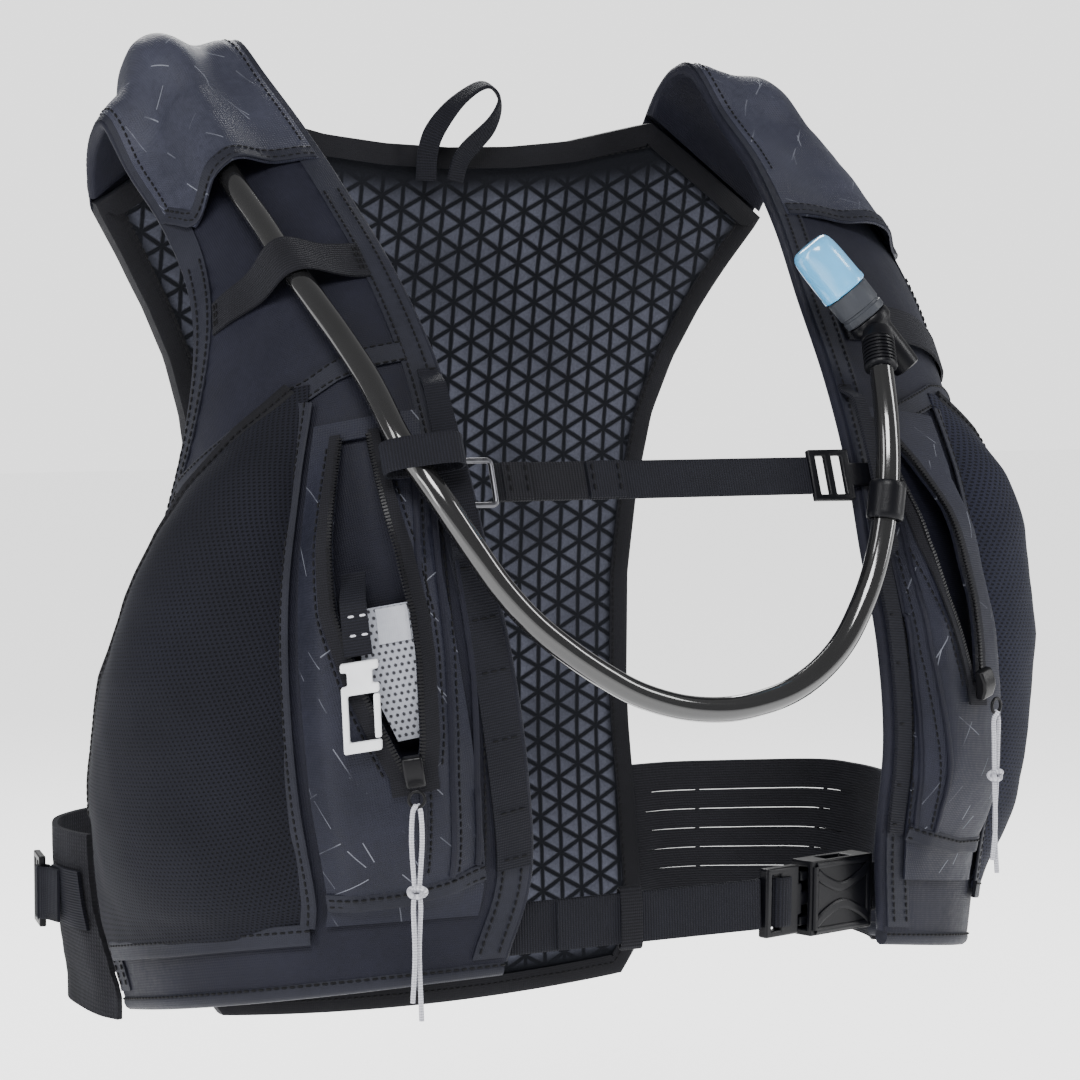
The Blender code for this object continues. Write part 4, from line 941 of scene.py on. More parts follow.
def back_panel():
    ss, vs = steps(-1, 1, 150), steps(0, 1, 260)
    outer, inner, raised = [], [], []
    for v in vs:
        front = []
        for s in ss:
            rim = ramp(1 - abs(s), 0.06, 0.12) * ramp(v, 0.03, 0.06) * ramp(1 - v, 0.03, 0.06)
            up = lattice(pad_at(s, v)) * rim
            front.append(pad_at(s, v, -PAD_RAISED * up - 0.25 * rim * crease(pad_at(s, v), 0.05, 1.0)))
            raised.append(rim)
        inner.append(front)
        outer.append([pad_at(s, v, PAD_THICK) for s in ss])
    pad = skin("padded_back", inner, outer, "foam_pad", "pack", ["back_pad"])
    found = {}
    for i in range(len(vs)):
        for j in range(len(ss)):
            q = inner[i][j] * MM
            found[(round(q.x, 6), round(q.y, 6), round(q.z, 6))] = raised[i * len(ss) + j]
    layer = pad.data.attributes.new("raised", "FLOAT", "POINT")
    for vertex in pad.data.vertices:
        q = vertex.co
        layer.data[vertex.index].value = found.get((round(q.x, 6), round(q.y, 6), round(q.z, 6)), 0.0)
    side = [(1, v) for v in steps(0, 1, 90)]
    rim = [(s, 0) for s in steps(-1, 1, 40)][:-1] + side + [(s, 1) for s in steps(1, -1, 40)][1:]
    rim += [(-1, v) for v in steps(1, 0, 90)][1:-1]
    path = [pad_at(s, v) for s, v in rim]
    outs = [Vector((0, 1, 0))] * len(path)
    depth, wide, edge, cloth = PAD_THICK + 0.9, 8.5, 0.95, 0.8
    section = [(-wide, -cloth - 0.1), (-wide * 0.5, -cloth - 0.25), (-0.5, -cloth), (edge - 0.2, 0),
               (edge, depth / 2),
               (edge - 0.2, depth - 1.0), (-0.5, depth), (-wide, depth), (-wide, depth - cloth),
               (-0.5, depth - cloth), (0.1, depth / 2), (-0.5, -0.1), (-wide, -0.1)]
    sweep("pad_binding", path, section, "binding", "pack", ["back_binding"], outs, closed=True)
    runs = [[(pad_at(s * 0.93, 0.018 + v * 0.966, -1.3), Vector((0, -1, 0))) for s, v in rim]]
    stitches("pad_stitches", runs, "pack")
    loop = sample(((-13, 64, -56), (-13, 62, -44), (-10, 60, -34), (0, 59, -22), (12, 58, -15),
                   (19, 58, -21),
                   (15, 58, -32), (3, 60, -45), (0, 63, -56)), 60)
    loop = [p + Vector((0, -2.4, 0)) for p in loop]
    outs = []
    for k, d in enumerate(tangents(loop)):
        turn = ramp(abs(k - 30), 2, 24)         # flat against the pad at both ends, edge-on at the top
        outs.append(d.cross(Vector((0, 1, 0))).normalized() * (1 - 0.75 * turn)
                    + Vector((0, -1, 0)) * (0.35 + 0.65 * turn))
    sweep("hanging_loop", loop, band_section(9.0, 1.5), "webbing", "pack", ["hang_loop"], outs)


# ---------------------------------------------------------------- straps, panels and their seams
EDGE_BAND = 10.0               # width of the hem along each panel's long edges
EDGE_STITCHES = (3.0, EDGE_BAND - 1.6)
HEM_FACE = 0.8


def along_panel(side, t, u, distance):
    """Station reached by moving a distance in millimetres down the panel at u."""
    span = (PANEL[side].at(t + 0.05, u) - PANEL[side].at(t - 0.05, u)).length
    return t + distance * 0.1 / max(span, 0.1)


def panel_relief(side, t, u):
    """Small unevenness of the panel's fabric: slow swells and finer puckers near the edges."""
    p = PANEL[side].at(t, u)
    edge = min(u, 1 - u) * PANEL[side].width(t)
    pucker = 0.25 * math.sin(t * 42 + 3 * noise.noise(p * 0.05)) * bell(edge - EDGE_BAND, 4.0)
    return crease(p, 0.035, 0.5) + crease(p, 0.11, 0.18) + pucker


def front_panels():
    round_edge = [math.pi * k / 6 for k in range(1, 6)]
    for side in SIDES:
        panel = PANEL[side]
        rings = []
        for t in steps(0.12, LAST, 150):
            us = steps(0, 1, 44)
            ring = [panel.at(t, u, panel_relief(side, t, u) * min(1, 8 * u, 8 * (1 - u))) for u in us]
            half = STRAP_THICK / 2
            for end, sign in ((1, 1), (0, -1)):
                edge, n = panel.at(t, end, -half), panel.normal(t, end)
                away = (panel.at(t, end) - panel.at(t, end - 0.02 * sign)).normalized()
                turn = round_edge if end else round_edge[::-1]
                ring += [edge + n * (math.cos(a) * half) + away * (math.sin(a) * 1.6) for a in turn]
                if end:
                    ring += [panel.at(t, u, -STRAP_THICK) for u in steps(1, 0, 16)]
            rings.append(ring)
        body = loft(f"{side}_panel", rings, "plain", "pack", [f"{side}_front_panel"])
        for edge, name in ((0, "medial"), (1, "lateral")):
            def band_u(t):
                wide = EDGE_BAND / panel.width(t)
                return steps(0.004, wide, 5) if edge == 0 else steps(1 - wide, 0.996, 5)

            panel_skin(f"{side}_{name}_hem", side, steps(0.2, 13.94, 170), band_u, lambda t, u: 0.15,
                       lambda t, u: HEM_FACE + 0.12 * math.sin(t * 40 + u * 9), "hem")
            runs = []
            for inset in EDGE_STITCHES:
                spots = [(t, inset / panel.width(t) if edge == 0 else 1 - inset / panel.width(t))
                         for t in steps(5.95, 13.9, 60)]
                runs.append(panel_run(side, spots, lambda t, u: 1.0, 240))
            stitches(f"{side}_{name}_hem_stitches", runs, "pack")
        hem = [panel.at(LAST, u, -STRAP_THICK / 2) for u in steps(-0.005, 1.005, 60)]
        down = [(panel.at(LAST, u, -2.5) - panel.at(LAST - 0.1, u, -2.5)).normalized()
                for u in steps(-0.005, 1.005, 60)]
        path = [p + d * 2.4 for p, d in zip(hem, down)]
        sweep(f"{side}_bottom_hem", path, band_section(7.2, 6.6, 6), "hem", "pack", [f"{side}_hem_binding"],
              [panel.normal(LAST, u) for u in steps(0, 1, 60)])
        run = [(p + panel.normal(LAST, u) * 3.35 - d * 1.6, panel.normal(LAST, u))
               for p, d, u in zip(path, down, steps(0, 1, 60))]
        stitches(f"{side}_bottom_stitches", [run], "pack")


def shoulder_joins():
    """Fabric fold that carries each strap over on to the back pad."""
    for side in SIDES:
        panel, sign = PANEL[side], PANEL[side].sign
        outer, inner = [], []
        for u in steps(-0.01, 1.06, 42):
            strap_edge = panel.at(0.5, u, 0.9)
            strap_end = panel.at(0.12, u, 0.6)
            v = 0.1 * max(u, 0) + 0.012 * ramp(u, 0.8, 1.06)
            rim, inside = pad_at(sign, v, PAD_THICK + 1.0), pad_at(sign * 0.9, v + 0.012, PAD_THICK + 1.2)
            line = sample((strap_edge, strap_end, rim, inside), 18)
            outer.append(line)
            wide = Vector(strap_edge - panel.at(0.5, u - 0.05, 0.9))
            out = [d.cross(wide).normalized() for d in tangents(line)]
            inner.append([p - n * 0.9 for p, n in zip(line, out)])
        skin(f"{side}_shoulder_join", outer, inner, "plain", "pack")


YOKE = {"right": ((7.93, 0.08), (7.95, 0.20), (8.03, 0.30), (8.16, 0.39), (8.23, 0.49), (8.35, 0.57),
                  (8.5, 0.7), (8.72, 0.93)),
        "left": ((8.51, 0.12), (8.28, 0.28), (8.1, 0.42), (8.03, 0.56), (8.05, 0.75), (8.12, 0.92))}


def panel_band(name, side, spots, width, thick, lift, look, count=50):
    """Narrow band sewn to a panel along (t, u) spots."""
    run = panel_run(side, spots, lift, count)
    sweep(name, [p + n * (thick / 2) for p, n in run], band_section(width, thick), look, "pack",
          outs=[n for _, n in run])


def seams():
    for side in SIDES:
        panel_band(f"{side}_yoke_fold", side, YOKE[side], 9.0, 0.9, lambda t, u: 0.3, "hem", 90)
        runs = [panel_run(side, [(t + shift, u) for t, u in YOKE[side]], lambda t, u: 1.3)
                for shift in (-0.09, 0.09)]
        stitches(f"{side}_yoke_stitches", runs, "pack")


# ---------------------------------------------------------------- shoulder flaps and hose elastics
FLAP_EDGE = {"right": ((0.04, 5.48), (0.19, 5.45), (0.31, 5.41), (0.5, 5.41), (0.68, 5.50), (0.83, 5.57),
                       (0.96, 5.12)),
             "left": ((0.04, 5.95), (0.19, 5.96), (0.36, 5.98), (0.6, 5.9), (0.8, 5.78), (0.96, 5.5))}
ELASTIC_T = {"right": (6.72, 7.12), "left": (7.2, 7.6)}
ELASTIC_U = (0.1, 0.86)
FLAP_TOP, FLAP_U = 0.7, (0.04, 0.96)   # station where a flap starts, and its two long edges


def flap_face(side, t, u):
    p = PANEL[side].at(t, u)
    held = min(1, 12 * abs(u - FLAP_U[0]), 12 * abs(FLAP_U[1] - u))   # sewn down along its long edges
    return 1.0 + tunnel_bump(side, t, u) + held * (FABRIC + crease(p, 0.045, 0.7) + crease(p, 0.13, 0.25))


def shoulder_flaps():
    us = steps(*FLAP_U, 72)
    for side in SIDES:
        panel = PANEL[side]
        outer, inner = [], []
        for k in range(111):
            line = [(FLAP_TOP + (interp(FLAP_EDGE[side], u) - FLAP_TOP) * k / 110, u) for u in us]
            outer.append([panel.at(t, u, flap_face(side, t, u)) for t, u in line])
            inner.append([panel.at(t, u, flap_face(side, t, u) - 1.0) for t, u in line])
        flap = skin(f"{side}_shoulder_flap", outer, inner, "ripstop", "pack", [f"{side}_tunnel_flap"])
        flat_width, flat_length = panel.width(3.5) * 1.08, arc_lengths([row[36] for row in outer])[-1]
        edge = [(interp(FLAP_EDGE[side], u) - 0.01, u) for u in steps(0.05, 0.95, 40)]
        front = [(along_panel(side, t, u, -3.4), u) for t, u in edge]
        panel_band(f"{side}_flap_fold", side, front, 7.2, 0.8, lambda t, u: flap_face(side, t, u) - 0.35,
                   "hem", 120)
        runs = [panel_run(side, [(along_panel(side, t, u, d), u) for t, u in edge],
                          lambda t, u: flap_face(side, t, u) + 0.35, 200) for d in (-2.0, -6.2)]
        for u in (0.075, 0.925):
            runs.append(panel_run(side, [(t, u) for t in steps(0.9, 5.2, 20)], lambda t,
                                  u: flap_face(side, t, u), 160))
        sewn = stitches(f"{side}_flap_stitches", runs, "pack")

        def band_bump(t, u):
            if side == "right":
                return 11.8 * math.exp(-((u - interp(HOSE_U["right"], t)) / 0.135) ** 2)
            return 2.0 * bell(u - 0.42, 0.2)

        def band_face(t, u):
            return 1.3 + 0.8 * min(1, 9 * (u - ELASTIC_U[0]), 9 * (ELASTIC_U[1] - u)) + band_bump(t, u)

        panel_skin(f"{side}_cross_elastic", side, steps(*ELASTIC_T[side], 12), steps(*ELASTIC_U, 60),
                   lambda t, u: band_face(t, u) - 1.1, band_face, "elastic", [f"{side}_hose_elastic"])
        middle = sum(ELASTIC_T[side]) / 2
        runs = [[(PANEL[side].at(t, u, 0.2 + band_face(t, u)), PANEL[side].normal(t, u))
                 for t in steps(middle - 0.15, middle + 0.15, 12)] for u in (0.115, 0.13, 0.83, 0.845)]
        stitches(f"{side}_elastic_stitches", runs, "pack")


# ---------------------------------------------------------------- front pockets
def tooth_row(verts, faces, point, across, along, out):
    """One zip tooth: a small wedge-ended block."""
    first = len(verts)
    for y in (-0.38, 0.38):
        for x, h in ((-0.9, -0.5), (1.1, -0.35), (1.35, 0.15), (0.9, 0.55), (-0.9, 0.5)):
            verts.append(point + across * x + along * y + out * h)
    for k in range(5):
        a, b = first + k, first + (k + 1) % 5
        faces.append((a, b, b + 5, a + 5))
    faces.append(tuple(range(first, first + 5))[::-1])
    faces.append(tuple(range(first + 5, first + 10)))


TOOTH_PITCH = 1.3


def teeth(name, rails):
    """Teeth along each rail of (point, direction towards the gap, outward) triples."""
    verts, faces = [], []
    for rail in rails:
        points = [r[0] for r in rail]
        spots = resample(points, TOOTH_PITCH)
        for (p, k), (q, _) in zip(spots, spots[1:]):
            along = (q - p).normalized()
            out = rail[k][2]
            across = flatten(rail[k][1], along)
            tooth_row(verts, faces, p, across, along, out)
    return mesh_object(name, verts, faces, "zip_black", "pack", sharp=30)


def spread_us(stops, counts):
    """Stops with each interval cut into its own number of cells."""
    us = [stops[0]]
    for a, b, n in zip(stops, stops[1:], counts):
        us += [a + (b - a) * k / n for k in range(1, n + 1)]
    return us


def zip_relief(side, t, u):
    p = PANEL[side].at(t, u)
    return zip_face(side, t, u) + crease(p, 0.04, 0.8) * ramp(t, 8.7, 9.6) + crease(p, 0.14, 0.2)


PLEATS = {"right": (((9.28, 0.09), (10.9, 0.115), (12.71, 0.17)),
                    ((9.50, 0.06), (11.0, 0.08), (12.79, 0.12)),
                    ((9.72, 0.035), (11.2, 0.045), (12.77, 0.075))),
          "left": (((9.4, 0.052), (11.0, 0.06), (12.8, 0.09)), ((9.4, 0.03), (11.0, 0.035), (12.8, 0.05)))}


def front_pockets():
    counts = (2, 6, 2, 5, 2, 5, 4)
    for side in SIDES:
        panel = PANEL[side]
        medial, lateral = ZIP_MEDIAL[side], ZIP_LATERAL[side]
        first, inner, outer, last = POCKET_U[side]
        top, end = ZIP_SPAN[side]
        rows = steps(top - 0.2, top, 3) + steps(top, end, 60)[1:] + steps(end, POCKET_END, 30)[1:]

        def zip_us(t):
            near, far = interp(medial, t), interp(lateral, t)
            return spread_us((first, min(inner, near - TAPE_W[side] - 0.004), near - TAPE_W[side], near, far,
                              far + TAPE_W[side], outer, last), counts)

        start = sum(counts[:3])
        pocket = panel_skin(f"{side}_zipped_pocket", side, rows, zip_us,
                            lambda t, u: zip_relief(side, t, u) - 1.0, lambda t, u: zip_relief(side, t, u),
                            "pocket", [f"{side}_zip_pocket"],
                            keep=lambda i, j: not (start <= j < start + counts[3] and 3 <= i < 63))
        tall = arc_lengths([panel.at(t, inner, 6) for t in rows])[-1]
        (last - first) * panel.width(11) * 1.12 * MM

        def tape_us(t):
            a, b = interp(medial, t), interp(lateral, t)
            return spread_us((a - TAPE_W[side], a - 0.003, b + 0.003, b + TAPE_W[side]), (4, 4, 4))

        ts = steps(top - 0.05, end + 0.15, 66)
        panel_skin(f"{side}_zip_tapes", side, ts, tape_us, lambda t,
                   u: zip_face(side, t, u) + TAPE_TOP - 0.9,
                   lambda t, u: zip_face(side, t, u) + TAPE_TOP, "tape", [f"{side}_zip_tape"],
                   keep=lambda i, j: not 4 <= j < 8 or i >= 64)
        rails = []
        for edge, sign in ((medial, 1), (lateral, -1)):
            rail = []
            for t in steps(top, end - 0.03, 90):
                u = interp(edge, t) - 0.005 * sign
                across = (panel.at(t, u + 0.02) - panel.at(t, u)).normalized() * sign
                rail.append((panel.at(t, u, zip_face(side, t, u) + TAPE_TOP - 0.35), across,
                             panel.normal(t, u)))
            rails.append(rail)
        teeth(f"{side}_zip_teeth", rails)
        runs = []
        for edge, sign in ((medial, -1), (lateral, 1)):
            spots = [(t, interp(edge, t) + sign * (TAPE_W[side] + 0.008))
                     for t in steps(top + 0.05, end, 40)]
            runs.append(panel_run(side, spots, lambda t, u: zip_relief(side, t, u), 160))
        runs += [panel_run(side, line, lambda t, u: zip_relief(side, t, u) if first < u < last else 1.2, 120)
                 for line in PLEATS[side]]
        stitches(f"{side}_pocket_stitches", runs, "pack")
        for k, line in enumerate(PLEATS[side]):
            panel_band(f"{side}_pleat_{k + 1}", side, [(t, u + 0.012) for t, u in line], 2.6, 1.6,
                       lambda t, u: max(zip_relief(side, t, u) if first < u < last else 0.0, 1.0) - 0.4,
                       "plain", 90)
        low = [(12.86, first), (12.95, (first + last) / 2), (12.9, last)]
        panel_band(f"{side}_cross_seam", side, low, 7.0, 1.0, lambda t, u: zip_relief(side, t, u) - 0.1,
                   "hem")
        runs = [panel_run(side, [(t + d, u) for t, u in low], lambda t, u: zip_relief(side, t, u) + 0.9)
                for d in (-0.05, 0.06)]
        stitches(f"{side}_cross_stitches", runs, "pack")


def mesh_pockets():
    for side, look in (("right", "stretch_mesh"), ("left", "fine_mesh")):
        panel = PANEL[side]
        rows = steps(*MESH_T, 90)

        def mesh_us(t):
            return [MESH_MEDIAL_U + (interp(MOUTH_U, t) - MESH_MEDIAL_U) * k / 44 for k in range(45)]

        def face(t, u):
            p = panel.at(t, u)
            return mesh_face(t, u) + (crease(p, 0.03, 1.1) + crease(p, 0.09, 0.35)) * ramp(t, 8.2, 9.0)

        pocket = panel_skin(f"{side}_stretch_pocket", side, rows, mesh_us, lambda t, u: face(t, u) - 0.8,
                            face, look,
                            [f"{side}_mesh_pocket"])
        tall = (panel.at(MESH_T[1], 0.6) - panel.at(MESH_T[0], 0.5)).length
        0.5 * panel.width(11) * 1.1 * MM
        mouth = [(t, interp(MOUTH_U, t) - 0.006) for t in steps(MESH_T[0], 12.1, 60)]
        panel_band(f"{side}_mouth_hem", side, mouth, 6.5, 2.0, lambda t, u: face(t, u) - 1.3, "binding", 160)
        runs = [panel_run(side, [(t, u - 0.012) for t, u in mouth], lambda t, u: face(t, u) + 0.75, 200)]
        seam = [(t, MESH_MEDIAL_U + 0.006) for t in steps(8.3, 13.4, 50)]
        panel_band(f"{side}_pocket_seam", side, seam, 6.0, 1.2, lambda t, u: 1.6, "hem", 160)
        runs.append(panel_run(side, seam, lambda t, u: 2.8, 200))
        bottom = [(MESH_T[1], MESH_MEDIAL_U), (MESH_T[1] + 0.02, 0.7), (MESH_T[1], 0.955)]
        panel_band(f"{side}_pocket_bottom", side, bottom, 8.0, 1.4, lambda t, u: 1.6, "hem", 80)
        runs.append(panel_run(side, [(t - 0.06, u) for t, u in bottom], lambda t, u: 3.0, 80))
        stitches(f"{side}_mesh_stitches", runs, "pack")


# ---------------------------------------------------------------- zip sliders, rings and cord pulls
PULL_LENGTH = {"right": 84, "left": 70, "rear": 40}


def pull_frame(name):
    """Start point, sideways, downward and outward directions of a slider's pull."""
    long_, thick = SLIDER_SIZE[1:]
    spots, _ = slider_track(name)
    centre, axis = circle_axis(*spots)
    along = (spots[0] - centre).cross(axis).normalized()
    if along.dot(spots[0] - spots[1]) < 0:
        along = -along
    out = (spots[0] - centre).normalized()
    down = Vector((0, 0, -1))
    if name == "rear":
        s = REAR_SLIDER_S[0]
        slope = shell_at(s, REAR_ZIP_V + 0.02) - shell_at(s, REAR_ZIP_V - 0.02)
        out = along.cross(slope).normalized()
        out = out if out.y > 0 else -out
        down = (shell_at(s, REAR_ZIP_V + 0.1, 8) - shell_at(s, REAR_ZIP_V, 6)).normalized()
    eye = spots[0] + along * (long_ / 2 - 1) + out * (thick / 2 + 2.2)
    side = out.cross(down).normalized()
    return eye + down * 1.6 + out * 1.8, side, down, side.cross(down).normalized()


def sliders():
    for name in ("right", "left", "rear"):
        moulded(f"{name}_zip_slider", f"{name}_slider", "zip_black", 0.9, 4)
        start, side, down, out = pull_frame(name)
        body, length = f"{name}_pull", PULL_LENGTH[name]

        def at(x, y, h=0.0):
            return start + side * x + down * y + out * h

        ring = [at(2.9 * math.cos(a), 1.6 + 3.0 * math.sin(a)) for a in steps(0, 2 * math.pi, 28)[:-1]]
        sweep(f"{name}_pull_ring", ring, round_section(0.65), "zip_black", body, closed=True)
        knot_y = length * 0.42
        for x, k in ((-1, 0), (1, 1)):
            points = sample((at(0.4 * x, 3.6, 1.2 * x), at(1.5 * x, 7), at(1.9 * x, knot_y * 0.5, 0.4 * x),
                             at(0.9 * x, knot_y - 2.5), at(0.7 * x, knot_y)), 30)
            sweep(f"{name}_pull_strand_{k + 1}", points, round_section(0.95), "grey_cord", body)
            tail = sample((at(0.8 * x, knot_y + 1), at(1.3 * x, knot_y + 6, 0.5 * x),
                           at(0.8 * x, length * 0.7, 0.7 * x),
                           at(1.6 * x, length * (0.98 if x > 0 else 0.9))), 30)
            sweep(f"{name}_pull_tail_{k + 1}", tail, round_section(0.95), "grey_cord", body)
        knot = []
        for k in range(64):
            a = 2 * math.pi * k / 64
            knot.append(at(2.5 * math.cos(2 * a) * (1 + 0.25 * math.cos(3 * a)),
                           knot_y + 1.6 * math.sin(2 * a)
                           * (1 + 0.25 * math.cos(3 * a)) + 0.5 * math.sin(a), 1.3 * math.sin(3 * a)))
        sweep(f"{name}_pull_knot", knot, round_section(1.05), "grey_cord", body, [f"{name}_zip_pull"],
              closed=True)


# ---------------------------------------------------------------- key clip and divider
def key_clip():
    panel = PANEL["right"]

    def tab_low(t, u):
        return 6.0 + 7.9 * ramp(t, 10.03, 10.36)

    panel_skin("key_webbing", "right", steps(10.05, 10.8, 24), steps(0.206, 0.25, 10), tab_low,
               lambda t, u: tab_low(t, u) + 1.3, "webbing", ["key_tab"])
    runs = [[(panel.at(t, u, tab_low(t, u) + 1.4), panel.normal(t, u)) for u in steps(0.209, 0.247, 12)]
            for t in (10.45, 10.62)]
    stitches("key_stitches", runs, "pack", "grey_cord")
    medial, lateral = ZIP_MEDIAL["right"], ZIP_LATERAL["right"]
    panel_skin("mesh_divider", "right", steps(10.4, 11.6, 30),
               lambda t: steps(interp(medial, t) - 0.008, interp(lateral, t) - 0.008, 16),
               lambda t, u: 5.0, lambda t, u: 5.9, "grey_mesh", ["pocket_divider"])
    panel_skin("divider_label", "right", steps(10.42, 10.75, 8),
               lambda t: steps(interp(medial, t) + 0.002, interp(medial, t) + 0.055, 6),
               lambda t, u: 5.95, lambda t, u: 6.3, "label")
    moulded("key_hook", "key_hook", "pale_plastic", 0.9, 4)
    moulded("key_gate", "key_gate", "pale_plastic", 0.7, 3)


# ---------------------------------------------------------------- hose, drinking valve and their keepers
def revolve(name, start, axis, profile, look, body, nodes=(), sides=40, flute=0.0):
    """Turned part: profile is (distance along the axis, radius); flute ripples the radius."""
    axis = Vector(axis).normalized()
    spin = axis.orthogonal().normalized()
    rings = []
    for distance, radius in profile:
        ring = []
        for k in range(sides):
            a = 2 * math.pi * k / sides
            arm = Matrix.Rotation(a, 3, axis) @ spin
            ring.append(start + axis * distance + arm * (radius + flute * math.cos(12 * a)))
        rings.append(ring)
    return loft(name, rings, look, body, nodes, sharp=35)


def hose_and_valve():
    route = hose_route()
    points = sample(route, 300)
    curve = bpy.data.curves.new("drinking_hose", "CURVE")
    curve.dimensions = "3D"
    curve.bevel_depth = HOSE_D / 2 * MM
    curve.bevel_resolution = 8
    curve.render_resolution_u = 0
    curve.use_fill_caps = True
    line = curve.splines.new("POLY")
    line.points.add(len(points) - 1)
    for spot, point in zip(line.points, points):
        spot.co = (*(point * MM), 1)
    curve.materials.append(LOOK["hose"])
    hose = bpy.data.objects.new("drinking_hose", curve)
    bpy.context.scene.collection.objects.link(hose)
    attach(hose, "pack")
    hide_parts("hose")
    first = (route[1] - route[0]).normalized()
    revolve("hose_port_elbow", route[0] - first * (GAP + 17), first,
            [(0, 4.4), (0.6, 5.4), (2, 6), (12, 6), (12.6, 5.4),
            (16.4, 5.2), (17, 4.8)], "moulded_black", "pack", ["port_elbow"])
    tip = (route[-1] - route[-2]).normalized()
    ribs = [(0, 5.3), (0.4, 6.3)]
    for k in range(8):
        y = 0.8 + k * 1.5
        ribs += [(y, 6.5), (y + 0.8, 6.5), (y + 0.95, 5.9), (y + 1.35, 5.9)]
    ribs += [(13, 6.4), (17.4, 5.4), (18, 5.0)]
    sleeve = revolve("valve_sleeve", route[-1] + tip * GAP, tip, ribs, "moulded_black", "pack")
    elbow = revolve("valve_body", VALVE_START, VALVE_AXIS,
                    [(0, 4.8), (0.5, 5.6), (4, 5.9), (17, 6.3), (19, 6.4), (21.6, 8.3), (22.2, 8.7),
                     (25.0, 8.8), (25.6, 8.5)], "moulded_black", "pack", ["valve_elbow"])
    valve = revolve("drinking_valve", VALVE_START + VALVE_AXIS * (25.6 + GAP), VALVE_AXIS,
                    [(0, 8.4), (0.5, 8.9), (3, 9.0), (3.4, 8.5), (4.2, 8.5), (4.6, 9.0), (12.4, 9.2),
                     (13.0, 8.8)], "silicone", "bite_valve", ["bite_valve"], flute=0.07)
    cap = revolve("valve_cap", VALVE_START + VALVE_AXIS * (39.0 + GAP), VALVE_AXIS,
                  [(0, 9.2), (0.5, 9.75), (2.2, 9.8), (2.8, 9.55), (10, 9.45), (15, 9.3), (19, 9.0),
                   (21.2, 8.5), (22.6, 7.7), (23.4, 6.4), (23.7, 4.0)],
                  "blue_cap", "dust_cap", ["dust_cap"], sides=56)


def hose_keepers():
    panel = PANEL["right"]
    axis = (panel.at(9.4, 0.06, 15.4) - panel.at(8.9, 0.06, 15.4)).normalized()
    out = flatten(panel.normal(9.15, 0.08), axis)
    across = axis.cross(out).normalized()
    middle = panel.at(9.12, 0.085, 15.6)
    path = round_loop(middle, across, out, 14.5, 6.5, 64)
    sweep("hose_webbing_loop", path, band_section(12.0, 1.4), "webbing", "pack", ["hose_loop"],
          [(p - middle).normalized() for p in path], closed=True)
    low, high, middle = Vector(HOSE_FREE[-6]), Vector(HOSE_FREE[-4]), Vector(HOSE_FREE[-5])
    axis = (high - low).normalized()
    out = flatten(Vector((0, -1, 0)), axis)
    across = axis.cross(out).normalized()
    arms = [out * math.cos(math.radians(a)) + across * math.sin(math.radians(a))
            for a in steps(-150, 150, 48)]
    sweep("hose_snap_clip", [middle + arm * 6.28 for arm in arms], band_section(15.0, 1.85),
          "moulded_black", "pack", ["hose_clip"], arms)


# ---------------------------------------------------------------- chest strap
def attachment_strips():
    wide = {"right": (0.004, 0.056), "left": (0.003, 0.037)}

    def lift(t, u):
        return 0.6 + 5.6 * ramp(t, 8.18, 8.42) * ramp(10.1 - t, 0.0, 0.14)

    for side in SIDES:
        panel_skin(f"{side}_strip", side, steps(8.15, 12.9, 120), steps(*wide[side], 10), lift,
                   lambda t, u: lift(t, u) + WEB_THICK, "webbing", [f"{side}_hook_strip"])
        runs = [[(PANEL[side].at(t, u, lift(t, u) + WEB_THICK + 0.1), PANEL[side].normal(t, u))
                 for u in steps(wide[side][0] + 0.006, wide[side][1] - 0.006, 8)]
                for t in (8.165, 10.18, 10.7, 11.2, 11.8, 12.4, 12.8)]
        stitches(f"{side}_strip_tacks", runs, "pack")


def strap(name, origin, along, down, start, end, width, thick, look, body, nodes=(), lift=0.0):
    """Straight band from start to end along a line, its face towards along x down."""
    out = down.cross(along).normalized()
    count = max(int((end - start) / 2), 2)
    path = [origin + along * x + out * lift for x in steps(start, end, count)]
    return sweep(name, path, band_section(width, thick), look, body, nodes, [out] * len(path))


